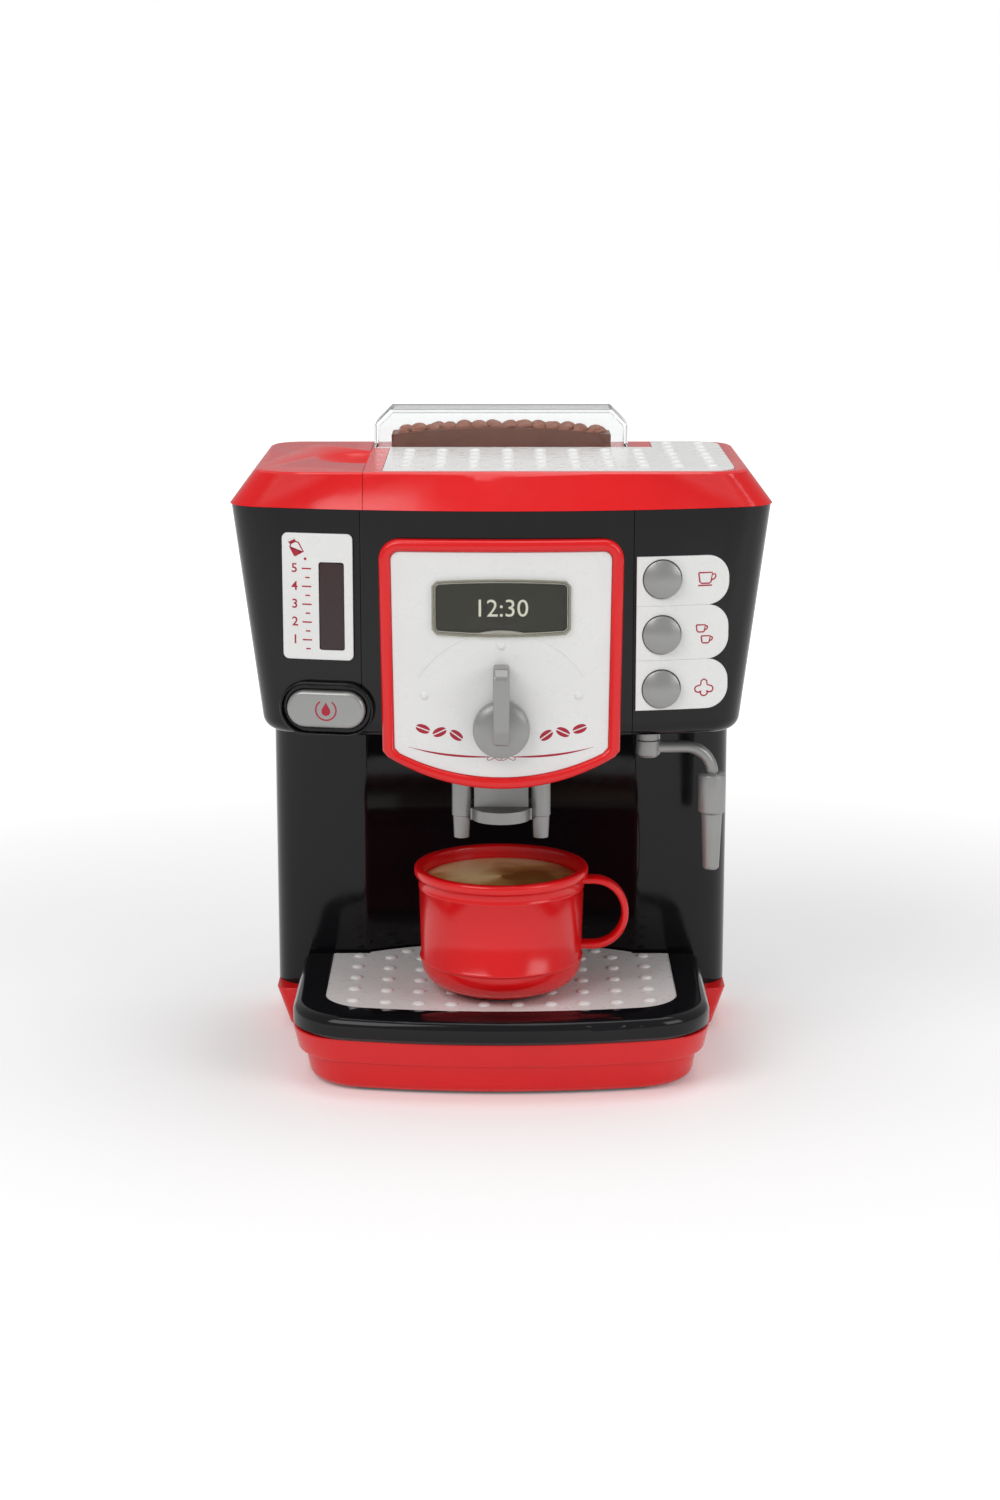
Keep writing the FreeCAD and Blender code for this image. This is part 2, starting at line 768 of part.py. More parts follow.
def rear_shell():
    tall_columns = column_block(0, Q.column_bottom, Q.head_bottom + 2 * Q.head_round)
    outer = join(HEAD_OUTER, tall_columns).common(REAR_HALF_SPACE)
    solid = outer.cut(HEAD_INNER).cut(COLUMN_INNER)
    inside = Q.case_back - Q.wall
    for x, z in case_posts():
        solid = join(solid, bore(x, z, Q.post_radius, Q.split, inside + Q.wall / 2))
        solid = solid.cut(bore(x, z, Q.screw_radius + Q.gap, Q.split - Q.over, FAR))
        well = Q.split + Q.screw_head_height
        solid = solid.cut(bore(x, z, Q.screw_head_radius + Q.gap, well, FAR))
    holes = []
    reach = int((Q.speaker_radius - Q.sound_hole) / Q.sound_pitch)
    for i in range(-reach, reach + 1):
        for j in range(-reach, reach + 1):
            if math.hypot(i, j) * Q.sound_pitch < Q.speaker_radius - 2 * Q.sound_hole:
                holes.append(bore(i * Q.sound_pitch, Q.speaker_z + j * Q.sound_pitch,
                                  Q.sound_hole, inside - Q.over, FAR))
    for i in range(int(Q.vent_count)):
        low = Q.vent_low + i * Q.vent_pitch
        holes.append(box_between((-Q.vent_length / 2, inside - Q.over, low),
                                 (Q.vent_length / 2, FAR, low + Q.vent_height)))
    collar = bore(0, Q.speaker_z, Q.speaker_radius + Q.wall, inside - Q.speaker_depth / 2,
                  inside + Q.wall / 2)
    collar = collar.cut(bore(0, Q.speaker_z, Q.speaker_radius + Q.gap, Q.split, inside))
    solid = join(solid, collar)
    keep_shape("rear_shell", solid.cut(Part.makeCompound(holes)))


# Screws are drawn as prisms, which keeps small round pieces light.
SHANK_SIDES, HEAD_SIDES = 6, 12


def case_screws():
    head_y = "split + screw_head_height"
    screws = []
    heights = ("case_post_low", "case_post_mid", "case_post_high")
    high_x = ("(head_half_low + (case_post_high - head_bottom) / (head_top - head_bottom)"
              " * (head_half_high - head_half_low) - case_post_inset)")
    for i, height in enumerate(heights):
        x = high_x if height == "case_post_high" else "case_post_x"
        for side in ("", "-"):
            name = f"case_screw_{i}{'b' if side else 'a'}"
            shank = prism(name + "_shank", SHANK_SIDES, "screw_radius", "screw_length",
                          (f"{side}{x}", f"{head_y} - screw_length", height), BACKWARDS)
            top = prism(name + "_head", HEAD_SIDES, "screw_head_radius", "screw_head_height",
                        (f"{side}{x}", head_y, height), BACKWARDS)
            screws.append(fused(name, shank, top))
    keep("case_screws", group("case_screws", screws))


# The base: a front part in two steps under the tray, and a wider rear part.
def tier(inset, half, front, low, high):
    """One step of the base, wider and further forward at its top."""
    outlines = []
    for level, flare, rake in ((low, 0, 0), (high, Q.tier_flare, Q.tier_rake)):
        outlines.append(bowed_outline(half + flare - inset, front - rake + inset,
                                      Q.column_front - Q.gap - inset, Q.base_bow - inset, level,
                                      inset_corner(Q.base_corner, inset), Q.wall / 2,
                                      corner_flat if inset else corner_arc))
    return ruled_loft(*outlines)


def rear_base(inset, low, high):
    outlines = []
    for level, half in ((low, Q.rear_half), (high, Q.column_half)):
        outlines.append(bowed_outline(half - inset, Q.rear_front + inset,
                                      Q.case_back - inset, 100 * Q.base_bow, level,
                                      inset_corner(Q.head_round, inset),
                                      inset_corner(Q.back_corner, inset),
                                      corner_flat if inset else corner_arc))
    return ruled_loft(*outlines)


def base_hollow(inset):
    """Space inside the base, open below."""
    lower = tier(inset, Q.lower_half, Q.lower_front, Q.foot_drop - Q.over, Q.lower_top + inset)
    upper = tier(inset, Q.upper_half, Q.upper_front, Q.lower_top + inset, Q.upper_top - inset)
    rear = rear_base(inset, Q.foot_drop - Q.over, Q.column_bottom - inset)
    return join(lower, [upper, rear])


def base_posts():
    front = [(side * Q.front_post_x, Q.front_post_y) for side in (-1, 1)]
    return front + [(side * Q.rear_post_x, Q.rear_post_y) for side in (-1, 1)]


PLATE_TOP = Q.foot_drop + Q.plate_thick


def base_shell():
    lower = tier(0, Q.lower_half, Q.lower_front, Q.foot_drop, Q.lower_top)
    upper = tier(0, Q.upper_half, Q.upper_front, Q.lower_top, Q.upper_top)
    rear = rear_base(0, Q.foot_drop, Q.column_bottom)
    solid = join(lower, [upper, rear]).cut(base_hollow(Q.wall))
    for x, y in base_posts():
        ceiling = (Q.upper_top if y < 0 else Q.column_bottom) - Q.wall / 2
        post = Part.makeCylinder(Q.post_radius, ceiling - PLATE_TOP, Vector(x, y, PLATE_TOP))
        pilot = Part.makeCylinder(Q.screw_radius, Q.screw_length,
                                  Vector(x, y, PLATE_TOP - Q.over))
        solid = join(solid, post).cut(pilot)
    keep_shape("base_shell", solid)


BOX_HALF_X = Q.cell_length / 2 + Q.contact_thick + Q.gap + Q.box_wall
BOX_HALF_Y = Q.cell_pitch * Q.cell_count / 2 + Q.box_wall


def base_plate():
    slab = box_between((-FAR, -FAR, Q.foot_drop), (FAR, FAR, PLATE_TOP))
    solid = base_hollow(Q.wall + Q.gap).common(slab)
    opening = box_between((-BOX_HALF_X + Q.box_wall, -BOX_HALF_Y + Q.box_wall, -Q.over),
                          (BOX_HALF_X - Q.box_wall, BOX_HALF_Y - Q.box_wall,
                           PLATE_TOP + Q.over))
    door_seat = box_between(
        (-BOX_HALF_X - Q.door_margin, -BOX_HALF_Y - Q.door_margin, -Q.over),
        (BOX_HALF_X + Q.door_margin, BOX_HALF_Y + Q.door_margin,
         Q.foot_drop + Q.plate_thick / 2))
    solid = solid.cut(opening).cut(door_seat)
    for x, y in base_posts():
        solid = solid.cut(Part.makeCylinder(Q.screw_radius + Q.gap, FAR,
                                            Vector(x, y, -Q.over)))
        solid = solid.cut(Part.makeCylinder(
            Q.screw_head_radius + Q.gap, Q.over + Q.foot_drop + Q.screw_head_height / 2,
            Vector(x, y, -Q.over)))
    keep_shape("base_plate", solid)


def base_details():
    """Battery box, door, cells, contacts, screws and feet in the underside."""
    half_x = "(cell_length / 2 + contact_thick + gap)"
    half_y = "(cell_pitch * cell_count / 2)"
    plate_top = "(foot_drop + plate_thick)"
    ceiling = f"({plate_top} + 2 * cell_radius + gap)"
    outer = block("battery_box_outer", (f"-{half_x} - box_wall", f"{half_x} + box_wall"),
                  (f"-{half_y} - box_wall", f"{half_y} + box_wall"),
                  (plate_top, f"{ceiling} + box_wall"))
    inner = block("battery_box_inner", (f"-{half_x}", half_x), (f"-{half_y}", half_y),
                  ("0", ceiling))
    keep("battery_box", cut("battery_box", outer, inner))
    margin = "(box_wall + door_margin - gap)"
    keep("battery_door", block(
        "battery_door", (f"-{half_x} - {margin}", f"{half_x} + {margin}"),
        (f"-{half_y} - {margin}", f"{half_y} + {margin}"),
        ("foot_drop", "foot_drop + plate_thick / 2")))
    cells = []
    springs = []
    for i in range(int(Q.cell_count)):
        y = f"(({i} - (cell_count - 1) / 2) * cell_pitch)"
        z = f"({plate_top} + cell_radius + gap / 2)"
        cells.append(rod(f"cell_{i}", "cell_radius - gap", "cell_length",
                         ("-cell_length / 2", y, z), Vector(1, 0, 0)))
        for end, x in (("a", f"-{half_x}"), ("b", f"{half_x} - contact_thick")):
            springs.append(block(
                f"contact_{i}{end}", (x, f"{x} + contact_thick"),
                (f"{y} - contact_width / 2", f"{y} + contact_width / 2"),
                (f"{z} - contact_width / 2", f"{z} + contact_width / 2")))
    keep("battery_cells", group("battery_cells", cells))
    keep("battery_contacts", group("battery_contacts", springs))
    screws = []
    feet = []
    for i, (x, y) in enumerate((("front_post_x", "front_post_y"), ("-front_post_x", "front_post_y"),
                                ("rear_post_x", "rear_post_y"), ("-rear_post_x", "rear_post_y"))):
        seat = "foot_drop + screw_head_height / 2"
        top = prism(f"base_screw_{i}_head", HEAD_SIDES, "screw_head_radius",
                    "screw_head_height / 2", (x, y, "foot_drop"))
        shank = prism(f"base_screw_{i}_shank", SHANK_SIDES, "screw_radius",
                      "screw_length - screw_head_height", (x, y, seat))
        screws.append(fused(f"base_screw_{i}", top, shank))
        inward = "- 3 * foot_radius" if not x.startswith("-") else "+ 3 * foot_radius"
        feet.append(rod(f"foot_{i}", "foot_radius", "foot_drop", (f"{x} {inward}", y, "0")))
    keep("base_screws", group("base_screws", screws))
    keep("rubber_feet", group("rubber_feet", feet))


# The lid slopes in from the head's rim to a flat deck. Its left end lifts off the tank.
def lid_block(inset, low):
    high = Q.deck - inset
    corners = (inset_corner(Q.head_corner, inset), inset_corner(Q.back_corner, inset),
               corner_flat if inset else corner_arc)
    low_wire = bowed_outline(Q.lid_half - inset, Q.head_front + inset, Q.case_back - inset,
                             Q.front_bow - inset, low, *corners)
    rings = [low_wire]
    for out in (Q.deck_edge, 0):
        rings.append(bowed_outline(
            Q.deck_half + out - inset, Q.deck_front - out + inset, Q.deck_back + out - inset,
            100 * Q.front_bow, high - out / 2, *corners))
    return Part.makeLoft(rings, True, True)


LID_LOW = Q.head_top + Q.lid_lift_gap


def lid_part(left, right):
    """The lid's walls between two places along X."""
    slab = box_between((left, Q.head_front - Q.wall, LID_LOW),
                       (right, Q.case_back + Q.wall, Q.deck + Q.over))
    return lid_block(0, LID_LOW).common(slab).cut(lid_block(Q.wall, LID_LOW - Q.over))


def deck_plate_solid(grow, low, high):
    """L-shaped plate on the deck, grown outwards for its seat."""
    left, right = Q.deck_plate_left - grow, Q.deck_plate_right + grow
    front, back = Q.deck_plate_front - grow, Q.deck_plate_back + grow
    step_x, step_y = Q.deck_plate_step_x - grow, Q.deck_plate_step_y + grow
    face = polygon([Vector(left, front, low), Vector(right, front, low),
                    Vector(right, back, low), Vector(step_x, back, low),
                    Vector(step_x, step_y, low), Vector(left, step_y, low)])
    solid = face.extrude(Vector(0, 0, high - low))
    return solid.makeFillet(Q.deck_plate_corner, upright_edges(
        solid, lambda at: at.x > Q.deck_plate_right - Q.over))


def top_lid():
    solid = lid_part(Q.lid_seam + Q.gap / 2, Q.lid_half + Q.over)
    rib = box_between((Q.lid_seam + Q.gap / 2, Q.deck_front + 2 * Q.wall, Q.head_top + Q.over),
                      (Q.lid_seam + Q.gap / 2 + Q.wall / 2, Q.deck_back - 2 * Q.wall,
                       Q.deck - Q.wall / 2))
    seat_low = Q.deck - Q.deck_plate_sink
    solid = join(solid, rib)
    solid = solid.cut(deck_plate_solid(Q.gap, seat_low, Q.deck + Q.over))
    keep_shape("top_lid", solid)


def tank_lid():
    walls = lid_part(-Q.lid_half - Q.over, Q.lid_seam - Q.gap / 2)
    sphere = (Q.scoop_radius**2 + Q.scoop_depth**2) / (2 * Q.scoop_depth)
    centre = Vector(Q.lid_seam, Q.scoop_y, Q.deck - Q.scoop_depth + sphere)
    ball = Part.makeSphere(sphere, centre)
    skin = Part.makeSphere(sphere + Q.wall, centre).common(
        box_between((-FAR, -FAR, 0), (Q.lid_seam - Q.gap / 2, FAR, Q.deck - Q.wall / 2)))
    solid = join(walls, skin).cut(ball)
    keep_shape("tank_lid", solid)


def hexagon(radius_x, radius_y, level):
    """Level six-sided outline about the origin."""
    turns = [math.radians(60 * i) for i in range(6)]
    return Part.makePolygon([Vector(radius_x * math.cos(turn), radius_y * math.sin(turn), level)
                             for turn in turns + turns[:1]])


def stud(radius_x, radius_y, height):
    """Low six-sided stud that narrows to half its width."""
    return ruled_loft(hexagon(radius_x, radius_y, 0), hexagon(radius_x / 2, radius_y / 2, height))


def bumps(spots, level):
    """The studs that stand on a plate."""
    pattern = stud(Q.bump_radius, Q.bump_radius, Q.bump_height)
    return [pattern.translated(Vector(x, y, level)) for x, y in spots]


def grid(left, right, front, back, pitch_x, pitch_y):
    """Evenly spaced places that fill a rectangle, centred in it."""
    columns = int((right - left) / pitch_x)
    rows = int((back - front) / pitch_y)
    start_x = (left + right - columns * pitch_x) / 2
    start_y = (front + back - rows * pitch_y) / 2
    return [(start_x + i * pitch_x, start_y + j * pitch_y)
            for i in range(columns + 1) for j in range(rows + 1)]


def deck_plate():
    low = Q.deck - Q.deck_plate_sink
    top = low + Q.deck_plate_thick
    margin = 2 * Q.bump_radius
    spots = grid(Q.deck_plate_left + margin, Q.deck_plate_right - margin,
                 Q.deck_plate_front + 1.5 * margin, Q.deck_plate_back - margin,
                 Q.bump_pitch_x, Q.bump_pitch_y)
    spots = [(x, y) for x, y in spots
             if y < Q.deck_plate_step_y - Q.bump_radius or x > Q.deck_plate_step_x + Q.bump_radius]
    solid = deck_plate_solid(0, low, top).fuse(bumps(spots, top))
    keep_shape("deck_plate", solid)


def hopper_block(inset, low):
    half, top = Q.hopper_half - inset, Q.hopper_top - inset
    slope = Q.hopper_chamfer - inset / 2
    y = Q.hopper_front + inset
    face = polygon([Vector(-half, y, low), Vector(-half, y, top - slope),
                    Vector(-half + slope, y, top), Vector(half - slope, y, top),
                    Vector(half, y, top - slope), Vector(half, y, low)])
    return face.extrude(Vector(0, Q.hopper_back - Q.hopper_front - 2 * inset, 0))


def hopper_cover():
    keep_shape("hopper_cover",
               hopper_block(0, Q.deck).cut(hopper_block(Q.hopper_wall, Q.deck - Q.over)))


def bean_block():
    """Moulded heap of beans: a crowned block whose top is covered with rows of beans."""
    y = Q.bean_front
    left, right = Vector(-Q.bean_half, y, Q.deck), Vector(Q.bean_half, y, Q.deck)
    rise = Vector(0, 0, Q.bean_edge - Q.bean_height - Q.deck)
    arc = Part.Arc(right + rise, Vector(0, y, Q.bean_crown - Q.bean_height), left + rise)
    face = Part.Face(Part.Wire([edge_line(left, right), edge_line(right, right + rise),
                                arc.toShape(), edge_line(left + rise, left)]))
    solid = face.extrude(Vector(0, Q.bean_back - Q.bean_front, 0))
    half, crown, edge = Q.bean_half, Q.bean_crown - Q.bean_height, Q.bean_edge - Q.bean_height
    bow = (half**2 + (crown - edge)**2) / (2 * (crown - edge))
    sink = Q.bean_height / 2
    pattern = stud(Q.bean_length / 2, Q.bean_width / 2, Q.bean_height + sink)
    places = grid(-half + Q.bean_width, half - Q.bean_width, y + Q.bean_width / 2,
                  Q.bean_back - Q.bean_width / 2, Q.bean_length, Q.bean_width)
    beans = []
    for i, (x, y) in enumerate(places):
        bean = pattern.rotated(Vector(), UP, Q.bean_turn if i % 2 else -Q.bean_turn)
        fall = bow - math.sqrt(bow**2 - x**2)
        beans.append(bean.translated(Vector(x, y, crown - fall - sink)))
    keep_shape("bean_block", join(solid, beans))


# Bezel, white panel, display and plates follow the bow of the head's front.
def bezel():
    ring = shield_block(0).cut(shield_block(Q.bezel_frame))
    keep_shape("bezel", ring.common(front_drum(Q.bezel_proud)).cut(front_drum(0)))


def face_panel():
    solid = shield_block(Q.bezel_frame + Q.running_fit).common(front_drum(Q.panel_proud))
    solid = solid.cut(front_drum(0)).cut(pushed_back(display_face(0)))
    solid = solid.cut(bore(0, Q.knob_z, Q.shaft_radius + Q.slip))
    studs = []
    for turn in (-Q.stud_angle, 0, Q.stud_angle):
        x = Q.stud_ring * math.sin(math.radians(turn))
        z = Q.knob_z + Q.stud_ring * math.cos(math.radians(turn))
        front = front_surface(x, Q.panel_proud)
        studs.append(bore(x, z, Q.stud_radius, front - Q.stud_proud, front + Q.stud_proud))
    keep_shape("face_panel", join(solid, studs))


def display():
    lens = pushed_back(display_face(Q.running_fit)).common(front_drum(Q.lens_proud))
    keep_shape("display_lens", lens.cut(front_drum(Q.lens_back)))
    card = pushed_back(display_face(Q.slip)).common(front_drum(Q.card_proud))
    keep_shape("display_card", card.cut(front_drum(0)))


def level_plate():
    face = rectangle_face(Q.level_left, Q.level_right, Q.level_low, Q.level_high)
    solid = round_through(pushed_back(face), Q.level_corner, lambda at: True)
    window = pushed_back(rectangle_face(Q.window_left, Q.window_right, Q.window_low,
                                        Q.window_high))
    plate = solid.cut(window).common(front_drum(Q.plate_proud)).cut(HEAD_OUTER)
    keep_shape("level_plate", plate)
    pane = pushed_back(rectangle_face(Q.window_left + Q.running_fit,
                                      Q.window_right - Q.running_fit,
                                      Q.window_low + Q.running_fit,
                                      Q.window_high - Q.running_fit))
    keep_shape("level_window", pane.common(front_drum(Q.window_proud)).cut(front_drum(0)))


def button_plate():
    levels = (Q.keys_low, Q.keys_notch_low, Q.keys_notch_high, Q.keys_high)
    solid = None
    for low, high in zip(levels, levels[1:]):
        lobe = pushed_back(rectangle_face(Q.keys_left, Q.keys_right, low, high))
        lobe = round_through(lobe, Q.keys_corner, lambda at: at.x > Q.keys_left + Q.over)
        solid = lobe if solid is None else join(solid, lobe)
    solid = solid.common(front_drum(Q.plate_proud)).cut(HEAD_OUTER)
    for z in KEYS.values():
        solid = solid.cut(bore(Q.key_x, z, Q.key_radius + Q.slip))
    keep_shape("button_plate", solid)


def round_buttons():
    """Domed push buttons: each has a flange inside the wall and a stem to the board."""
    edge = front_surface(Q.key_x, Q.plate_proud) - Q.key_proud
    for label, z in KEYS.items():
        body = bore(Q.key_x, z, Q.key_radius, edge, Q.key_flange_y)
        dome = (Q.key_radius**2 + Q.key_dome**2) / (2 * Q.key_dome)
        ball = Part.makeSphere(dome, Vector(Q.key_x, edge - Q.key_dome + dome, z))
        cap = ball.common(bore(Q.key_x, z, Q.key_radius, edge - 2 * Q.key_dome, edge))
        flange = bore(Q.key_x, z, Q.key_flange, Q.key_flange_y,
                      Q.key_flange_y + Q.key_flange_thick)
        stem = bore(Q.key_x, z, Q.key_stem, Q.key_flange_y,
                    Q.board_front - Q.dome_height - Q.gap)
        keep_shape(label, join(body, [cap, flange, stem]))


def key_domes():
    """Rubber domes on the board, one behind each stem."""
    height = "(dome_height)"
    domes = []
    for i, z in enumerate(("key_low_z", "key_mid_z", "key_high_z")):
        domes.append(taper(f"key_dome_{i}", "key_stem", "1.6 * key_stem", height,
                           ("key_x", f"board_front - {height}", z), BACKWARDS))
    keep("rubber_domes", group("rubber_domes", domes))


def circuit_board():
    keep("circuit_board", block("circuit_board", ("board_left", "board_right"),
                                ("board_front", "board_front + board_thick"),
                                ("board_low", "board_high")))


def knob():
    front = Q.head_front - Q.panel_proud - Q.slip
    disc = bore(0, Q.knob_z, Q.knob_radius, front - Q.knob_depth + Q.knob_crown, front)
    crown = (Q.knob_radius**2 + Q.knob_crown**2) / (2 * Q.knob_crown)
    ball = Part.makeSphere(crown, Vector(0, front - Q.knob_depth + crown, Q.knob_z))
    cap = ball.common(bore(0, Q.knob_z, Q.knob_radius, front - Q.knob_depth,
                           front - Q.knob_depth + Q.knob_crown))
    half = Q.grip_width / 2
    high = Q.knob_z + Q.grip_reach
    low = Q.knob_z - Q.grip_low
    profile = polygon([Vector(-half, front - Q.slip, low), Vector(-half, Q.grip_front + half, low),
                       Vector(-half, Q.grip_front, low + 2 * half),
                       Vector(-half, Q.grip_front, high - half),
                       Vector(-half, Q.grip_front + half, high),
                       Vector(-half, front - Q.slip, high)])
    grip = profile.extrude(Vector(Q.grip_width, 0, 0))
    solid = join(disc, [cap, grip])
    solid = solid.cut(bore(0, Q.knob_z, Q.shaft_radius, front - Q.knob_depth / 2, 0))
    keep_shape("selector_knob", solid)
    keep("knob_shaft", rod(
        "knob_shaft", "shaft_radius",
        "shaft_back - (head_front - panel_proud - slip - knob_depth / 2)",
        ("0", "head_front - panel_proud - slip - knob_depth / 2", "knob_z"), BACKWARDS))
    body = rod("switch_body", "switch_radius", "switch_back - (head_front + wall + gap)",
               ("0", "head_front + wall + gap", "knob_z"), BACKWARDS)
    hole = rod("switch_hole", "shaft_radius + running_fit",
               "shaft_back + running_fit - head_front", ("0", "head_front", "knob_z"),
               BACKWARDS)
    keep("rotary_switch", cut("rotary_switch", body, hole))


# The pump: a long button in a black dish, which squeezes a rubber bellows.
def pump():
    outer = pushed_back(stadium(Q.pump_x, Q.pump_z, Q.dish_half, Q.dish_height))
    hole = pushed_back(stadium(Q.pump_x, Q.pump_z, Q.pump_half + Q.slip,
                               Q.pump_height + 2 * Q.slip))
    inner = pushed_back(stadium(Q.pump_x, Q.pump_z, Q.dish_half - Q.dish_inner / 2,
                                Q.dish_height - Q.dish_inner))
    ring = outer.common(front_drum(Q.dish_proud)).cut(HEAD_OUTER)
    hollow = inner.cut(front_drum(Q.dish_proud / 3))
    keep_shape("button_dish", ring.cut(hollow).cut(hole))
    pill = pushed_back(stadium(Q.pump_x, Q.pump_z, Q.pump_half, Q.pump_height))
    pill = pill.common(front_drum(Q.pump_proud))
    pill = pill.common(box_between((-FAR, -FAR, 0), (FAR, Q.pump_back, FAR)))
    front = [edge for edge in pill.Edges if edge.CenterOfMass.y < Q.pump_back - Q.pump_edge]
    front = [edge for edge in front
             if edge.BoundBox.YLength < 0.6 * (Q.pump_back - pill.BoundBox.YMin)]
    pill = pill.makeFillet(Q.pump_edge, front)
    stem = bore(Q.pump_x, Q.pump_z, Q.stem_radius, Q.pump_back,
                Q.bellows_front - Q.running_fit)
    keep_shape("pump_button", join(pill, stem))


def pump_inside():
    """Bellows, valve block and the hose that leads to the brew head."""
    place = ("pump_x", "bellows_front", "pump_z")
    length = "bellows_back - bellows_front"
    outer = rod("bellows_outer", "bellows_radius", length, place, BACKWARDS)
    inner = rod("bellows_inner", "bellows_radius - bellows_wall",
                f"{length} - 2 * bellows_wall",
                ("pump_x", "bellows_front + bellows_wall", "pump_z"), BACKWARDS)
    keep("pump_bellows", cut("pump_bellows", outer, inner))
    body = rod("valve_body", "bellows_radius", "valve_back - bellows_back",
               ("pump_x", "bellows_back", "pump_z"), BACKWARDS)
    foot = block("valve_foot", ("pump_x - bellows_radius", "pump_x + bellows_radius"),
                 ("bellows_back", "valve_back"), ("head_bottom + wall", "pump_z"))
    spigot = rod("valve_spigot", "hose_bore - running_fit", "spigot_length",
                 ("pump_x", "valve_back", "pump_z"), BACKWARDS)
    keep("pump_valve", fused("pump_valve", body, foot, spigot))
    level = Q.pump_z
    start = Vector(Q.pump_x, Q.valve_back, level)
    end = Vector(0, Q.brew_block_back, level)
    near = Vector(Q.pump_x, Q.hose_back, level)
    far = Vector(0, Q.hose_back, level)
    along = Vector(Q.hose_bend, 0, 0)
    out = Vector(0, Q.hose_bend, 0)
    path = Part.makePolygon([start, near - out, near + along, far - along, far - out, end])
    rings = [Part.Wire(Part.makeCircle(radius, start, BACKWARDS))
             for radius in (Q.hose_radius, Q.hose_bore)]
    walls = [path.makePipeShell([ring], True, False, 1) for ring in rings]
    keep_shape("water_hose", walls[0].cut(walls[1]))


def water_tank():
    def shell(inset, low, high):
        solid = box_between((Q.tank_left + inset, Q.tank_front + inset, low),
                            (Q.tank_right - inset, Q.tank_back - inset, high))
        return eased(solid, Q.tank_corner, inset, upright_edges(solid, lambda at: True))
    solid = shell(0, Q.tank_low, Q.tank_high)
    solid = solid.cut(shell(Q.tank_wall, Q.tank_low + Q.tank_wall, Q.tank_high + Q.over))
    keep_shape("water_tank", solid)


# Brew head: a block with a shelf, and two stepped spouts.
def brew_head():
    block_solid = box_between((-Q.brew_block_half, Q.brew_block_front, Q.shelf_high),
                              (Q.brew_block_half, Q.brew_block_back, Q.brew_block_top))
    height = Q.shelf_high - Q.shelf_low
    disc = Part.makeCylinder(Q.shelf_radius, height, Vector(0, Q.shelf_y, Q.shelf_low))
    disc = disc.common(box_between((-FAR, -FAR, 0), (FAR, Q.brew_block_back, FAR)))
    arm = box_between((-Q.spout_x, Q.brew_y - Q.spout_tube_radius / 2, Q.shelf_low),
                      (Q.spout_x, Q.brew_block_back, Q.shelf_high))
    solid = join(block_solid, [disc, arm])
    for side in (-1, 1):
        solid = solid.cut(Part.makeCylinder(
            Q.spout_tube_radius + Q.running_fit, FAR,
            Vector(side * Q.spout_x, Q.brew_y, Q.shelf_low - Q.over)))
    inlet = Part.makeCylinder(Q.hose_bore - Q.running_fit, Q.spigot_length,
                              Vector(0, Q.brew_block_back, Q.pump_z), BACKWARDS)
    keep_shape("brew_head", join(solid, inlet))


def spouts():
    outline = [("spout_bore", "spout_tip"), ("spout_tip_radius", "spout_tip"),
               ("spout_radius", "spout_tube_low"), ("spout_tube_radius", "spout_tube_low"),
               ("spout_tube_radius", "spout_tube_high"), ("spout_bore", "spout_tube_high")]
    pair = [turned(f"spout_{name}", outline, f"{sign}spout_x", "brew_y")
            for name, sign in (("left", "-"), ("right", ""))]
    keep("brew_spouts", group("brew_spouts", pair))


# Steam pipe: it swings on an upright pin in a socket under the head.
def steam_pipe():
    keep("steam_socket", turned("steam_socket", [
        ("pivot_radius + running_fit", "socket_low"), ("steam_hub_radius", "socket_low"),
        ("steam_hub_radius", "(socket_low + head_bottom) / 2"),
        ("socket_flange", "head_bottom - wall / 2"), ("socket_flange", "head_bottom"),
        ("pivot_radius + running_fit", "head_bottom")], "steam_x", "steam_y"))
    centre = Vector(Q.steam_x, Q.steam_y, 0)
    hub = Part.makeCylinder(Q.steam_hub_radius, Q.steam_hub_high - Q.steam_hub_low,
                            centre + UP * Q.steam_hub_low)
    hub = hub.makeChamfer(Q.pipe_radius / 2, level_edges(hub, Q.steam_hub_low))
    pin = Part.makeCylinder(Q.pivot_radius, Q.pivot_top - Q.steam_hub_low,
                            centre + UP * Q.steam_hub_low)
    start = centre + UP * Q.steam_pipe_z
    corner = start + Vector(Q.pipe_reach, 0, 0)
    end = Vector(corner.x, corner.y, Q.sleeve_low)
    bend = Q.pipe_bend
    turn = bend * (1 - math.sqrt(0.5))
    arc = Part.Arc(corner - Vector(bend, 0, 0), corner + Vector(-turn, 0, -turn),
                   corner - UP * bend)
    path = Part.Wire([edge_line(start, corner - Vector(bend, 0, 0)), arc.toShape(),
                      edge_line(corner - UP * bend, end)])
    ring = Part.Wire(Part.makeCircle(Q.pipe_radius, start, Vector(1, 0, 0)))
    pipe = path.makePipeShell([ring], True, False)
    keep_shape("steam_arm", join(hub, [pin, pipe]))
    x = "steam_x + pipe_reach"
    keep("steam_sleeve", turned("steam_sleeve", [
        ("pipe_radius + running_fit", "sleeve_low"), ("sleeve_radius - sleeve_edge", "sleeve_low"),
        ("sleeve_radius", "sleeve_low + sleeve_edge"),
        ("sleeve_radius", "sleeve_high - sleeve_edge"),
        ("sleeve_radius - sleeve_edge", "sleeve_high"),
        ("pipe_radius + running_fit", "sleeve_high")], x, "steam_y"))
    keep("steam_nozzle", turned("steam_nozzle", [
        ("nozzle_bore", "nozzle_low"), ("nozzle_tip_radius - sleeve_edge", "nozzle_low"),
        ("nozzle_tip_radius", "nozzle_low + sleeve_edge"),
        ("nozzle_radius", "sleeve_low"), ("nozzle_bore", "sleeve_low")], x, "steam_y"))


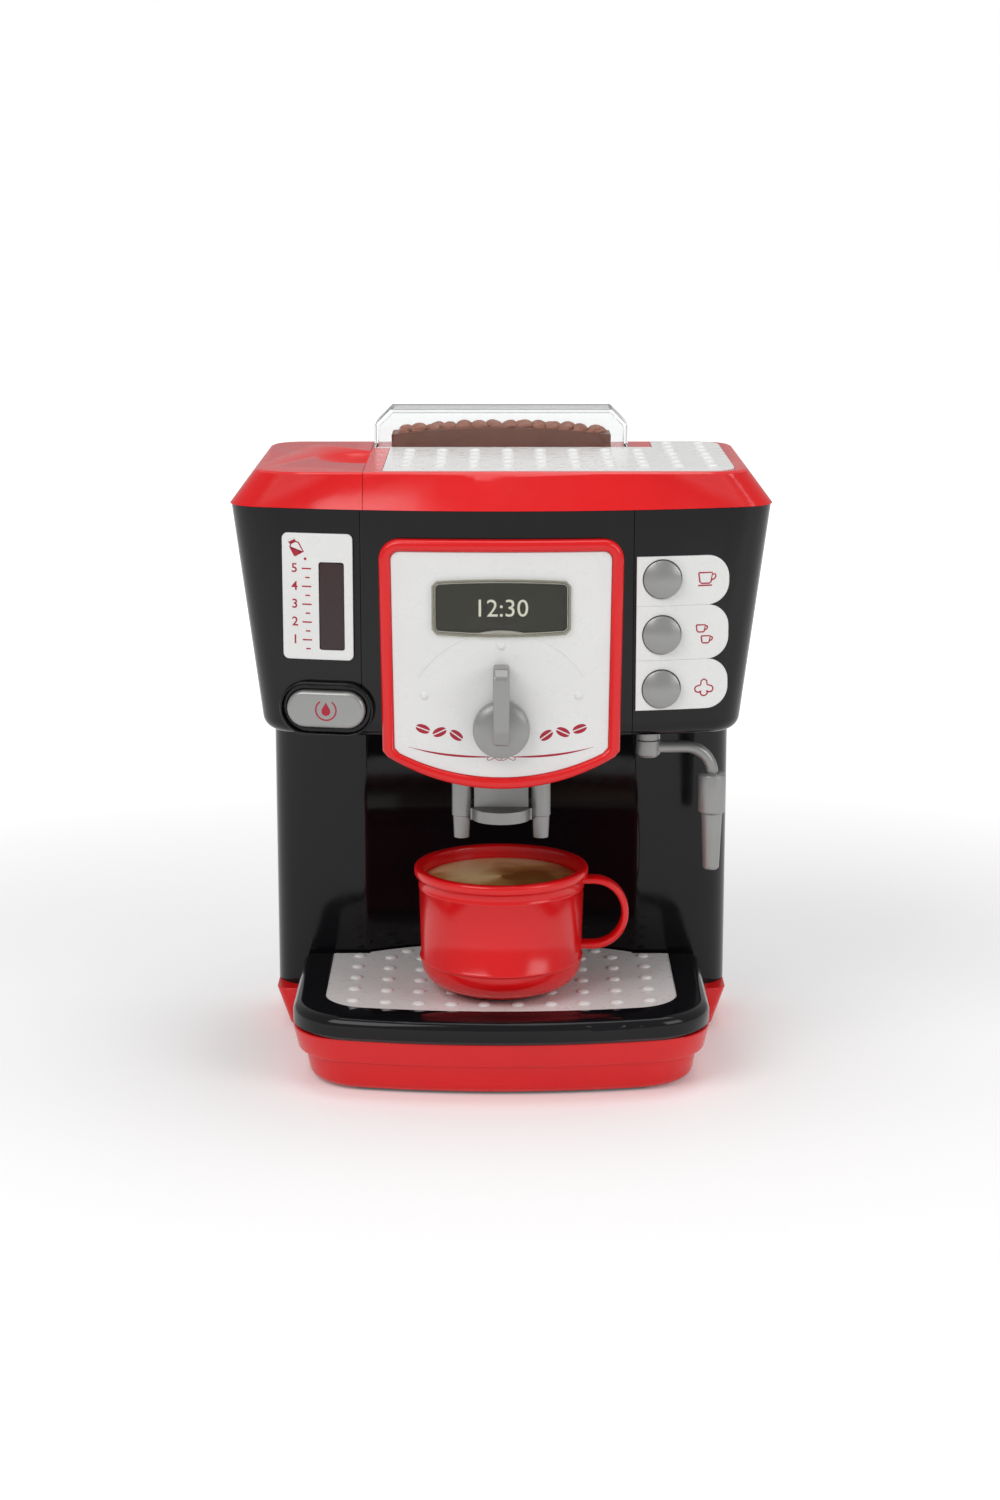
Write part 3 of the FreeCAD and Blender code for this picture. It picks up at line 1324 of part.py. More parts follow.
# Drip tray: a broad rounded rim with a basin, and a tongue that fills the hollow wall.
def tongue(inset, low, high):
    centre, radius = bay_arc(-Q.slip - inset)
    drum = Part.makeCylinder(radius, high - low, Vector(0, centre, low))
    return drum.common(box_between((-Q.column_inner + Q.slip + inset, 0, low),
                                   (Q.column_inner - Q.slip - inset, FAR, high)))


def grille_region(inset, low, high):
    outline = bowed_outline(Q.grille_half - inset, Q.grille_front + inset,
                            Q.grille_back - inset, Q.base_bow - inset, low,
                            inset_corner(Q.grille_corner, inset), Q.wall / 2)
    solid = Part.Face(outline).extrude(Vector(0, 0, high - low))
    return join(solid, tongue(Q.wall / 2 + inset, low, high))


def drip_tray():
    outline = bowed_outline(Q.tray_half, Q.tray_front, Q.tray_back, Q.base_bow, Q.upper_top,
                            Q.tray_corner, Q.tray_round + Q.over)
    solid = Part.Face(outline).extrude(Vector(0, 0, Q.tray_top - Q.upper_top))
    solid = solid.makeFillet(Q.tray_round, level_edges(solid, Q.tray_top))
    solid = solid.makeChamfer(Q.tray_under_edge, level_edges(solid, Q.upper_top))
    solid = join(solid, tongue(0, Q.upper_top, Q.grille_top))
    ledge = Q.grille_top - Q.grille_thick
    solid = solid.cut(grille_region(0, ledge, Q.tray_top + Q.over))
    solid = solid.cut(grille_region(Q.grille_ledge, Q.upper_top + Q.tray_floor, ledge + Q.over))
    keep_shape("drip_tray", solid)


def drip_grille():
    low = Q.grille_top - Q.grille_thick
    solid = grille_region(Q.gap, low, Q.grille_top)
    margin = 2 * Q.bump_radius
    corner = Q.grille_corner - Q.bump_radius
    spots = []
    for x, y in grid(-Q.grille_half + margin, Q.grille_half - margin, Q.grille_front + margin,
                     Q.grille_back - margin, Q.grille_pitch_x, Q.grille_pitch_y):
        y += front_bow_drop(x)
        overshoot = abs(x) - (Q.grille_half - Q.grille_corner)
        shy = Q.grille_front + front_bow_drop(x) + Q.grille_corner - y
        inside = overshoot < 0 or shy < 0 or math.hypot(overshoot, shy) < corner
        if inside and y < Q.grille_back - Q.bump_radius - Q.over:
            spots.append((x, y))
    tab_half = Q.column_inner - 2 * margin
    for x, y in grid(-tab_half, tab_half, Q.grille_back, Q.grille_back + Q.bump_radius,
                     Q.grille_pitch_x, Q.grille_pitch_y):
        spots.append((x, y + Q.bump_radius))
    keep_shape("drip_grille", join(solid, bumps(spots, Q.grille_top)))


def front_bow_drop(x):
    """How far the tray's bowed front falls back at a distance x from the middle."""
    return Q.base_bow - math.sqrt(Q.base_bow**2 - x**2)


# The cup, its handle and the moulded disc of coffee that lies in it.
def cup():
    foot, rim = Q.cup_foot, Q.cup_rim
    ledge = Q.coffee_top - Q.coffee_thick
    shoulder = foot + Q.cup_foot_height
    round_high = shoulder + Q.cup_round
    waist, side, lip = Q.cup_waist_radius, Q.cup_radius, Q.cup_rim_radius
    inner = side - Q.cup_wall
    low_inner = waist - Q.cup_wall - Q.gap
    slope = Q.cup_round * (1 - math.sqrt(0.5))

    def at(radius, level):
        return Vector(radius, 0, level)
    ring = Q.cup_foot_ring
    bead_low = round_high + Q.cup_bead
    bead_high = rim - Q.cup_lip_height
    edges = [edge_line(at(0, foot + ring), at(Q.cup_foot_radius - 2 * ring, foot + ring)),
             edge_line(at(Q.cup_foot_radius - 2 * ring, foot + ring),
                       at(Q.cup_foot_radius - ring, foot)),
             edge_line(at(Q.cup_foot_radius - ring, foot), at(Q.cup_foot_radius, foot)),
             edge_line(at(Q.cup_foot_radius, foot), at(Q.cup_foot_radius, shoulder)),
             edge_line(at(Q.cup_foot_radius, shoulder), at(waist - Q.cup_round, shoulder)),
             Part.Arc(at(waist - Q.cup_round, shoulder), at(waist - slope, shoulder + slope),
                      at(waist, round_high)).toShape(),
             edge_line(at(waist, round_high), at(waist, bead_low)),
             edge_line(at(waist, bead_low), at(waist + Q.cup_bead, bead_low + Q.cup_bead)),
             edge_line(at(waist + Q.cup_bead, bead_low + Q.cup_bead),
                       at(waist, bead_low + 2 * Q.cup_bead)),
             edge_line(at(waist, bead_low + 2 * Q.cup_bead), at(side, bead_high)),
             edge_line(at(side, bead_high), at(lip, bead_high + 1.5 * Q.cup_bead)),
             edge_line(at(lip, bead_high + 1.5 * Q.cup_bead), at(lip, rim - Q.cup_bead)),
             edge_line(at(lip, rim - Q.cup_bead), at(lip - Q.cup_bead, rim)),
             edge_line(at(lip - Q.cup_bead, rim), at(inner, rim)),
             edge_line(at(inner, rim), at(inner, ledge)),
             edge_line(at(inner, ledge), at(low_inner, ledge)),
             edge_line(at(low_inner, ledge), at(low_inner, round_high)),
             edge_line(at(low_inner, round_high),
                       at(low_inner - Q.cup_round, shoulder + Q.cup_wall)),
             edge_line(at(low_inner - Q.cup_round, shoulder + Q.cup_wall),
                       at(0, shoulder + Q.cup_wall)),
             edge_line(at(0, shoulder + Q.cup_wall), at(0, foot + ring))]
    bowl = Part.Face(Part.Wire(edges)).revolve(Vector(), UP, 360)
    reach = Q.handle_reach
    middle = (Q.handle_low + Q.handle_high) / 2
    half_height = (Q.handle_high - Q.handle_low) / 2
    start = waist - Q.cup_wall / 2
    solid_rings = []
    for inset in (0, Q.handle_thick):
        rise = half_height - inset
        knee = reach - half_height * 0.8
        arc = Part.Arc(at(knee, middle + rise), at(reach - inset, middle),
                       at(knee, middle - rise)).toShape()
        back = [edge_line(at(knee, middle - rise), at(start, middle - rise)),
                edge_line(at(start, middle - rise), at(start, middle + rise)),
                edge_line(at(start, middle + rise), at(knee, middle + rise))]
        face = Part.Face(Part.Wire([arc] + back))
        face.translate(Vector(0, -Q.handle_width / 2, 0))
        solid_rings.append(face.extrude(Vector(0, Q.handle_width, 0)))
    handle = solid_rings[0].cut(solid_rings[1])
    core = Part.makeCylinder(waist - Q.cup_wall / 2, rim, Vector())
    solid = join(bowl, handle.cut(core))
    solid.translate(Vector(0, Q.cup_y, 0))
    keep_shape("cup", solid)


def coffee_disc():
    keep("coffee_disc", turned("coffee_disc", [
        ("0", "coffee_top - coffee_thick"),
        ("cup_radius - cup_wall - gap", "coffee_top - coffee_thick"),
        ("cup_radius - cup_wall - gap", "coffee_top"), ("0", "coffee_top")], "0", "cup_y"))


def speaker():
    inside = "case_back - wall"
    magnet = rod("speaker_magnet", "speaker_radius / 2", "speaker_depth / 2",
                 ("0", f"{inside} - gap - speaker_depth", "speaker_z"), BACKWARDS)
    basket = taper("speaker_basket", "speaker_radius / 2", "speaker_radius",
                   "speaker_depth / 2",
                   ("0", f"{inside} - gap - speaker_depth / 2", "speaker_z"), BACKWARDS)
    keep("speaker", fused("speaker", magnet, basket))


MAKERS = (base_shell, base_plate, base_details, body_shell, head_shell, head_nose, tank_rest,
          rear_shell, case_screws,
          top_lid, tank_lid, deck_plate, hopper_cover, bean_block, bezel, face_panel, display,
          level_plate, button_plate, round_buttons, key_domes, circuit_board, knob, pump,
          pump_inside, water_tank, brew_head, spouts, steam_pipe, drip_tray, drip_grille, cup,
          coffee_disc, speaker)
for maker in MAKERS:
    maker()
doc.recompute()

for item in doc.Objects:
    if any(mark in item.State for mark in ("Invalid", "Error")):
        raise RuntimeError(f"{item.Label} did not compute: {item.State}")
for label, item in subparts.items():
    shape = item.Shape
    if shape.isNull() or not shape.isValid() or not shape.Solids:
        raise RuntimeError(f"{label} has no valid solid")

os.makedirs("parts", exist_ok=True)
for label, item in subparts.items():
    item.Shape.exportStep(f"parts/{label}.step")
    print(f"{label}: {len(item.Shape.Solids)} solid(s), {item.Shape.Volume:.0f} cubic mm")
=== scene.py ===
import math
import random

import bmesh
import bpy
from mathutils import Matrix, Vector


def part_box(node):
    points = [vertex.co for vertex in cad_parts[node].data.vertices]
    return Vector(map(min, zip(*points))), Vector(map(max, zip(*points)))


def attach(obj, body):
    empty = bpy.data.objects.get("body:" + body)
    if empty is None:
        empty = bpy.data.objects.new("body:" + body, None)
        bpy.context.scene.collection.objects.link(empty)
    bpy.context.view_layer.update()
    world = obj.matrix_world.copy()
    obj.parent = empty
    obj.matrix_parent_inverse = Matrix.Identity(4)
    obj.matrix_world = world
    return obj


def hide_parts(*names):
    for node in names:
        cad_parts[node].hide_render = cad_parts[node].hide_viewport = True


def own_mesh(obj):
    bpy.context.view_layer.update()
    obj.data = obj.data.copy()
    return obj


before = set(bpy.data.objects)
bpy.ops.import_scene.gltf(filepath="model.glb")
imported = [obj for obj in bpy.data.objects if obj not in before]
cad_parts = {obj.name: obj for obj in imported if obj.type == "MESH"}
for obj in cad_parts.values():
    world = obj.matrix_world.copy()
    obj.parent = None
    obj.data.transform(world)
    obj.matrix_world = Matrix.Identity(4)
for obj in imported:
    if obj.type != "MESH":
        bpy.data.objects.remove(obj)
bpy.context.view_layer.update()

MM = 0.001


# Camera, floor and lights.
# A long lens looks slightly down at the machine's front, as in the photograph. The floor is
# white paper that brightens with distance, and three broad soft lamps light the machine.
camera_lens, camera_sensor = 67.2, 36
camera_place = (-0.0005, -1.1205, 0.376)
camera_tilt = math.radians(77.5)
scene = bpy.context.scene
scene.view_settings.view_transform = "Standard"
camera = bpy.data.objects.new("camera", bpy.data.cameras.new("camera"))
camera.data.lens = camera_lens
camera.data.sensor_width = camera_sensor
camera.location = camera_place
camera.rotation_euler = (camera_tilt, 0, 0)
scene.collection.objects.link(camera)
scene.camera = camera


def new_material(name):
    """An empty material with its Principled shader."""
    material = bpy.data.materials.new(name)
    material.use_nodes = True
    return material, material.node_tree, material.node_tree.nodes["Principled BSDF"]


def added(tree, kind, operation=None, values=()):
    """A new node, with its operation and the constants of its inputs."""
    node = tree.nodes.new(kind)
    if operation:
        node.operation = operation
    for socket, value in dict(values).items():
        node.inputs[socket].default_value = value
    return node


def linked(tree, *pairs):
    """Links from outputs to inputs."""
    for source, target in pairs:
        tree.links.new(source, target)


def seen_directly(tree, glossy):
    """1 where the camera or a clear piece looks at the surface, and glossy in a reflection."""
    path = added(tree, "ShaderNodeLightPath")
    mirrored = added(tree, "ShaderNodeMath", "MULTIPLY", {1: glossy})
    linked(tree, (path.outputs["Is Glossy Ray"], mirrored.inputs[0]))
    total = mirrored.outputs[0]
    for word in ("Is Camera Ray", "Is Transmission Ray"):
        most = added(tree, "ShaderNodeMath", "MAXIMUM")
        linked(tree, (total, most.inputs[0]), (path.outputs[word], most.inputs[1]))
        total = most.outputs[0]
    return total


sky_on_object, sky_seen = 0.42, 1.0
world = bpy.data.worlds.new("studio")
scene.world = world
world.use_nodes = True
studio = world.node_tree
sky = studio.nodes["Background"]
sky.inputs["Color"].default_value = (1, 1, 1, 1)
strength = added(studio, "ShaderNodeMapRange", None, {"To Min": sky_on_object, "To Max": sky_seen})
linked(studio, (seen_directly(studio, 0.0), strength.inputs["Value"]),
       (strength.outputs["Result"], sky.inputs["Strength"]))

floor_half = 6
floor_paper, floor_roughness = (0.94, 0.94, 0.94, 1), 0.9
glow_start, glow_end = 0.2, 1.1
glow_near, glow_far, glow_mirrored = 0.1, 0.8, 0.4
floor_mesh = bpy.data.meshes.new("floor")
floor_mesh.from_pydata([(-floor_half, -floor_half, 0), (floor_half, -floor_half, 0),
                        (floor_half, floor_half, 0), (-floor_half, floor_half, 0)],
                       [], [(0, 1, 2, 3)])
floor = bpy.data.objects.new("floor", floor_mesh)
scene.collection.objects.link(floor)
floor_material, tree, paper = new_material("floor_paper")
paper.inputs["Base Color"].default_value = floor_paper
paper.inputs["Roughness"].default_value = floor_roughness
paper.inputs["Emission Color"].default_value = (1, 1, 1, 1)
spot = added(tree, "ShaderNodeTexCoord")
far = added(tree, "ShaderNodeVectorMath", "LENGTH")
lift = added(tree, "ShaderNodeMapRange", None, {"From Min": glow_start, "From Max": glow_end,
                                                "To Min": glow_near, "To Max": glow_far})
lift.interpolation_type = "SMOOTHSTEP"
shown = added(tree, "ShaderNodeMath", "MULTIPLY")
linked(tree, (spot.outputs["Object"], far.inputs[0]),
       (far.outputs["Value"], lift.inputs["Value"]),
       (lift.outputs["Result"], shown.inputs[0]),
       (seen_directly(tree, glow_mirrored), shown.inputs[1]),
       (shown.outputs[0], paper.inputs["Emission Strength"]))
floor.data.materials.append(floor_material)

lamp_aim = Vector((0, 0, 0.13))
for name, place, width, power in (("key", (-0.75, -0.9, 1.15), 0.9, 8.5),
                                  ("fill", (1.1, -0.8, 0.7), 0.7, 4.4),
                                  ("top", (0.1, 0.1, 1.3), 0.9, 4.8)):
    lamp = bpy.data.lights.new(name, "AREA")
    lamp.size = width
    lamp.energy = power
    holder = bpy.data.objects.new(name, lamp)
    holder.location = place
    holder.rotation_euler = (lamp_aim - Vector(place)).to_track_quat("-Z", "Y").to_euler()
    scene.collection.objects.link(holder)


# Red base in two steps.
# Injection-moulded gloss plastic: a front part under the tray and a wider rear part under the
# columns, with soft edges where the mould parts.
def moulding_group():
    """Skin of moulded plastic: a faint cloudy tone, fine handling marks and a slight ripple."""
    group = bpy.data.node_groups.new("moulded_skin", "ShaderNodeTree")
    for word, usual in (("Cloud Scale", 40.0), ("Ripple Scale", 260.0)):
        socket = group.interface.new_socket(word, in_out="INPUT", socket_type="NodeSocketFloat")
        socket.default_value = usual
    for word in ("Tone", "Marks", "Ripple"):
        group.interface.new_socket(word, in_out="OUTPUT", socket_type="NodeSocketFloat")
    entry, leave = added(group, "NodeGroupInput"), added(group, "NodeGroupOutput")
    where = added(group, "ShaderNodeTexCoord")
    cloud = added(group, "ShaderNodeTexNoise", None, {"Detail": 3})
    ripple = added(group, "ShaderNodeTexNoise", None, {"Detail": 2})
    marks = added(group, "ShaderNodeTexNoise", None, {"Detail": 6, "Roughness": 0.7})
    finer = added(group, "ShaderNodeMath", "MULTIPLY", {1: 3.5})
    linked(group, (entry.outputs["Cloud Scale"], cloud.inputs["Scale"]),
           (entry.outputs["Cloud Scale"], finer.inputs[0]),
           (finer.outputs[0], marks.inputs["Scale"]),
           (entry.outputs["Ripple Scale"], ripple.inputs["Scale"]))
    for node, word in ((cloud, "Tone"), (marks, "Marks"), (ripple, "Ripple")):
        linked(group, (where.outputs["Object"], node.inputs["Vector"]),
               (node.outputs["Fac"], leave.inputs[word]))
    return group


SKIN = moulding_group()


def moulded(name, color, shade, roughness, spread=0.06, ripple=0.02, cloud=40.0, metallic=0.0,
            coat=0.0, specular=0.5):
    """Plastic whose tone wanders from color to shade, and whose gloss has faint marks."""
    material, tree, shader = new_material(name)
    skin = added(tree, "ShaderNodeGroup")
    skin.node_tree = SKIN
    skin.inputs["Cloud Scale"].default_value = cloud
    blend = added(tree, "ShaderNodeMix")
    blend.data_type = "RGBA"
    blend.inputs["A"].default_value = (*color, 1)
    blend.inputs["B"].default_value = (*shade, 1)
    gloss = added(tree, "ShaderNodeMapRange", None, {
        "From Min": 0.3, "From Max": 0.75, "To Min": max(roughness - spread, 0.02),
        "To Max": roughness + spread})
    bump = added(tree, "ShaderNodeBump", None, {"Strength": ripple, "Distance": 0.4 * MM})
    linked(tree, (skin.outputs["Tone"], blend.inputs["Factor"]),
           (blend.outputs["Result"], shader.inputs["Base Color"]),
           (skin.outputs["Marks"], gloss.inputs["Value"]),
           (gloss.outputs["Result"], shader.inputs["Roughness"]),
           (skin.outputs["Ripple"], bump.inputs["Height"]),
           (bump.outputs["Normal"], shader.inputs["Normal"]))
    shader.inputs["Metallic"].default_value = metallic
    shader.inputs["Specular IOR Level"].default_value = specular
    shader.inputs["Coat Weight"].default_value = coat
    shader.inputs["Coat Roughness"].default_value = 0.08
    return material


RED = moulded("red_gloss", (0.80, 0.006, 0.008), (0.70, 0.004, 0.006), 0.2)


def round_corner(centre, radius, start, end, steps):
    """Points along an arc, from one angle to another in degrees."""
    return [(centre[0] + radius * math.cos(math.radians(start + (end - start) * i / steps)),
             centre[1] + radius * math.sin(math.radians(start + (end - start) * i / steps)))
            for i in range(steps + 1)]


def bowed_loop(half, front, back, bow, front_corner, back_corner, steps=10):
    """Level outline, anticlockwise from above, whose front edge bulges with the radius bow."""
    hub = front + bow
    reach = bow - front_corner
    drop = math.sqrt(reach**2 - (half - front_corner)**2)
    lean = math.degrees(math.asin((half - front_corner) / reach))
    right = (half - front_corner, hub - drop)
    points = round_corner((0, hub), bow, -90 - lean, -90 + lean, 3 * steps)
    points += round_corner(right, front_corner, -90 + lean, 0, steps)[1:]
    points += round_corner((half - back_corner, back - back_corner), back_corner, 0, 90, steps)
    points += round_corner((back_corner - half, back - back_corner), back_corner, 90, 180, steps)
    points += round_corner((-right[0], right[1]), front_corner, 180, 270 - lean, steps)[:-1]
    return points


def soft_levels(low, high, round_low, round_high, steps=5):
    """(level, inset) pairs that climb a wall with rounded lower and upper edges."""
    pairs = []
    for i in range(steps + 1):
        turn = math.radians(90 * i / steps)
        pairs.append((low + round_low * (1 - math.cos(turn)), round_low * (1 - math.sin(turn))))
    for i in range(steps + 1):
        turn = math.radians(90 * i / steps)
        pairs.append((high - round_high * (1 - math.sin(turn)), round_high * (1 - math.cos(turn))))
    return pairs


def loft(rings):
    """Closed mesh between rings of points that have the same count."""
    made = bmesh.new()
    rows = [[made.verts.new(point) for point in ring] for ring in rings]
    count = len(rows[0])
    for below, above in zip(rows, rows[1:]):
        for i in range(count):
            j = (i + 1) % count
            made.faces.new((below[i], below[j], above[j], above[i]))
    made.faces.new(list(reversed(rows[0])))
    made.faces.new(rows[-1])
    bmesh.ops.recalc_face_normals(made, faces=made.faces)
    return made


def joined(*parts):
    """One bmesh from several."""
    whole = bmesh.new()
    for part in parts:
        scratch = bpy.data.meshes.new("scratch")
        part.to_mesh(scratch)
        whole.from_mesh(scratch)
        part.free()
        bpy.data.meshes.remove(scratch)
    return whole


def piece(name, made, body, material, nodes, crease=35):
    """Finish a mesh as a piece of the object that rides on a body."""
    mesh = bpy.data.meshes.new(name)
    made.to_mesh(mesh)
    made.free()
    mesh.shade_smooth()
    mesh.set_sharp_from_angle(angle=math.radians(crease))
    thing = bpy.data.objects.new(name, mesh)
    scene.collection.objects.link(thing)
    thing.data.materials.append(material)
    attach(thing, body)
    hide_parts(*nodes)
    return thing


base_low, base_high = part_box("base_shell")
column_low, column_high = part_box("body_shell")
base_back = column_low.y - 0.2 * MM
base_bow, base_corner, back_corner = 300 * MM, 24 * MM, 2 * MM
flare, rake = 2 * MM, 4 * MM
step_level, step_lap = base_low.z + 12.2 * MM, 1 * MM
rear_half, rear_front, rear_bow = 90 * MM, 24 * MM, 30000 * MM
rear_front_corner, rear_back_corner = 6 * MM, 12 * MM


def step_of_base(half, front, low, high, round_low, round_high):
    """One step of the base, which leans outwards."""
    rings = []
    for level, inset in soft_levels(low, high, round_low, round_high):
        rise = (level - low) / (high - low)
        loop = bowed_loop(half + flare * rise - inset, front - rake * rise + inset, base_back,
                          base_bow, base_corner, back_corner)
        rings.append([(x, y, level) for x, y in loop])
    return loft(rings)


lower_step = step_of_base(77.5 * MM, -61 * MM, base_low.z, step_level + step_lap, 3 * MM, 0.5 * MM)
upper_step = step_of_base(82 * MM, -66 * MM, step_level, base_high.z, 1.6 * MM, 0.8 * MM)
rear_rings = []
for level, inset in soft_levels(base_low.z, column_low.z, 1.5 * MM, 0.6 * MM):
    rise = (level - base_low.z) / (column_low.z - base_low.z)
    loop = bowed_loop(rear_half + (base_high.x - rear_half) * rise - inset, rear_front + inset,
                      base_high.y - inset, rear_bow, rear_front_corner, rear_back_corner)
    rear_rings.append([(x, y, level) for x, y in loop])
piece("base_shell_gloss", joined(lower_step, upper_step, loft(rear_rings)), "machine", RED,
      ["base_shell"])


# Black columns with the hollow wall between them.
# One deep moulding in polished black plastic, open towards the cup, split from the rear casing
# along its sides.
BLACK = moulded("black_gloss", (0.0065, 0.0065, 0.008), (0.004, 0.004, 0.005), 0.11, 0.04,
                ripple=0.012, coat=0.1, specular=0.25)
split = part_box("head_shell")[1].y
inner_edge = 57.5 * MM
bay_depth = 14.5 * MM
bay_radius = (inner_edge**2 + bay_depth**2) / (2 * bay_depth)
bay_centre = column_low.y + bay_depth - bay_radius
half_turn = math.degrees(math.asin(inner_edge / bay_radius))
column_half = column_high.x
column_corner, bay_edge = 15 * MM, 1.6 * MM
near, very_near = 0.1 * MM, 0.01 * MM
column_loop = round_corner((0, bay_centre), bay_radius, 90 + half_turn, 90 - half_turn, 40)
column_loop += round_corner((column_half - column_corner, column_low.y + column_corner),
                            column_corner, -90, 0, 12)
column_loop += [(column_half, split), (-column_half, split)]
column_loop += round_corner((column_corner - column_half, column_low.y + column_corner),
                            column_corner, 180, 270, 12)
head_bottom = 143.4 * MM
columns = loft([[(x, y, level) for x, y in column_loop]
                for level in (column_low.z, column_low.z + 40 * MM, head_bottom)])
bay_edges = [edge for edge in columns.edges
             if abs(abs(edge.verts[0].co.x) - inner_edge) < near
             and abs(edge.verts[0].co.y - edge.verts[1].co.y) < very_near
             and abs(edge.verts[0].co.y - column_low.y) < near
             and abs(edge.verts[0].co.z - edge.verts[1].co.z) > near]
bmesh.ops.bevel(columns, geom=bay_edges, offset=bay_edge, segments=4, affect="EDGES", profile=0.5)
piece("column_casing", columns, "machine", BLACK, ["body_shell"])


# Head casing in three panels.
# Polished black plastic that narrows downwards, with a bowed front and a rounded lower edge. The
# CAD shell is cut into three hollow panels with thin seams between them.
head_bow = 344 * MM
head_front = -54 * MM


def merged(node):
    """A merged copy of a CAD solid's mesh."""
    made = bmesh.new()
    made.from_mesh(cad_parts[node].data)
    bmesh.ops.remove_doubles(made, verts=made.verts, dist=1e-6)
    bmesh.ops.dissolve_limit(made, angle_limit=math.radians(0.4), verts=made.verts,
                             edges=made.edges)
    return made


def sliced(made, place, outwards):
    """Cut a closed mesh off along a plane, and close its walls again."""
    everything = made.verts[:] + made.edges[:] + made.faces[:]
    cut = bmesh.ops.bisect_plane(made, geom=everything, plane_co=place, plane_no=outwards,
                                 clear_outer=True)
    rim = [item for item in cut["geom_cut"] if isinstance(item, bmesh.types.BMEdge)]
    bmesh.ops.triangle_fill(made, use_beauty=True, edges=rim)


def softened(thing, width, angle=40, segments=2):
    """Narrow rounded edges that catch the light."""
    bevel = thing.modifiers.new("soft_edges", "BEVEL")
    bevel.width = width
    bevel.segments = segments
    bevel.limit_method = "ANGLE"
    bevel.angle_limit = math.radians(angle)
    bevel.harden_normals = True


seam_left, seam_right, seam = -54.5 * MM, 51.2 * MM, 0.12 * MM
fine_edge, plain_edge, soft_edge = 0.25 * MM, 0.3 * MM, 0.35 * MM
for name, low, high in (("head_left", None, seam_left), ("head_middle", seam_left, seam_right),
                        ("head_right", seam_right, None)):
    panel = merged("head_shell")
    if low is not None:
        sliced(panel, (low + seam, 0, 0), (-1, 0, 0))
    if high is not None:
        sliced(panel, (high - seam, 0, 0), (1, 0, 0))
    softened(piece(name, panel, "machine", BLACK, ["head_shell"]), soft_edge)


# Nose of the head behind the bezel.
# Black block that hangs below the casing and carries the brew head; its front follows the bow.
bezel_half, bezel_half_low = 47.3 * MM, 46.3 * MM
bezel_top, bezel_side, bezel_bottom = 222.4 * MM, 138 * MM, 124.6 * MM
bezel_corner, least_corner, bezel_elbow, bezel_shoulder = 8 * MM, 1 * MM, 2 * MM, 1.2 * MM
side_share = 0.3


def head_surface(x, proud=0.0):
    """Y of the head's bowed front at x, moved out by proud."""
    return head_front + head_bow - math.sqrt((head_bow + proud)**2 - x**2)


def shield_outline(inset, steps=24):
    """Outline of the bezel in X and Z: straight top and sides, and an arc below."""
    half, half_low = bezel_half - inset, bezel_half_low - inset
    top, side = bezel_top - inset, bezel_side + side_share * inset
    bottom = bezel_bottom + inset
    corner = max(bezel_corner - inset, least_corner)
    sag = side - bottom
    radius = (half_low**2 + sag**2) / (2 * sag)
    lean = math.degrees(math.asin((half_low - bezel_elbow) / radius))
    points = round_corner((0, bottom + radius), radius, -90 - lean, -90 + lean, steps)
    shoulder = side + bezel_shoulder
    points.append((half_low, shoulder))
    points += round_corner((half - corner, top - corner), corner, 0, 90, 8)
    points += round_corner((corner - half, top - corner), corner, 90, 180, 8)
    points.append((-half_low, shoulder))
    return points


def striped(made, step=3 * MM):
    """Divide a mesh along upright planes, so that it can follow the bow."""
    spots = [vert.co.x for vert in made.verts]
    place = math.floor(min(spots) / step) + 1
    while place * step < max(spots):
        bmesh.ops.bisect_plane(made, geom=made.verts[:] + made.edges[:] + made.faces[:],
                               plane_co=(place * step, 0, 0), plane_no=(1, 0, 0), dist=1e-7)
        place += 1
    return made


nose_back, nose_top, nose_inset, nose_edge = -2 * MM, head_bottom + 12 * MM, 0.2 * MM, 0.8 * MM
nose_outline = [(x, min(z, nose_top)) for x, z in shield_outline(nose_inset)]
nose = striped(loft([[(x, y, z) for x, z in nose_outline] for y in (head_front, nose_back)]))
for vert in nose.verts:
    if vert.co.y < nose_back - near:
        vert.co.y = head_surface(vert.co.x)
softened(piece("nose_block", nose, "machine", BLACK, ["head_nose"]), nose_edge,
         50)


# Rear casing with its screws and vents.
# The CAD solids themselves: the casing merged and given soft edges, in satin black plastic, and
# the steel screws in their wells.
def dressed(name, node, body, material, width, crease=35):
    """A merged copy of a CAD solid, with narrow rounded edges where a width is given."""
    thing = piece(name, merged(node), body, material, [node], crease)
    if width:
        softened(thing, width)


def paint(material, *nodes):
    """Give shown CAD solids a material."""
    for node in nodes:
        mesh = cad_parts[node].data
        mesh.materials.clear()
        mesh.materials.append(material)


SATIN = moulded("black_satin", (0.009, 0.009, 0.01), (0.006, 0.006, 0.007), 0.3, ripple=0.06)
STEEL = moulded("screw_steel", (0.35, 0.35, 0.36), (0.28, 0.28, 0.29), 0.32, metallic=1.0)
dressed("rear_casing", "rear_shell", "machine", SATIN, fine_edge)
paint(STEEL, "case_screws", "base_screws")


# Red lid, and the lift-off lid over the water tank.
# Gloss plastic like the base; the seam between the two runs over the deck and the front slope,
# and a round scoop lets a fingertip under the loose lid.
dressed("lid", "top_lid", "machine", RED, soft_edge, 30)
dressed("loose_lid", "tank_lid", "tank_lid", RED, soft_edge, 30)


# White cup-warmer plate on the deck.
# Satin white plastic with soft edges; its low round studs are one dome repeated with Geometry
# Nodes on an even grid.
WHITE = moulded("white_plastic", (0.83, 0.83, 0.82), (0.77, 0.77, 0.76), 0.3, ripple=0.02)


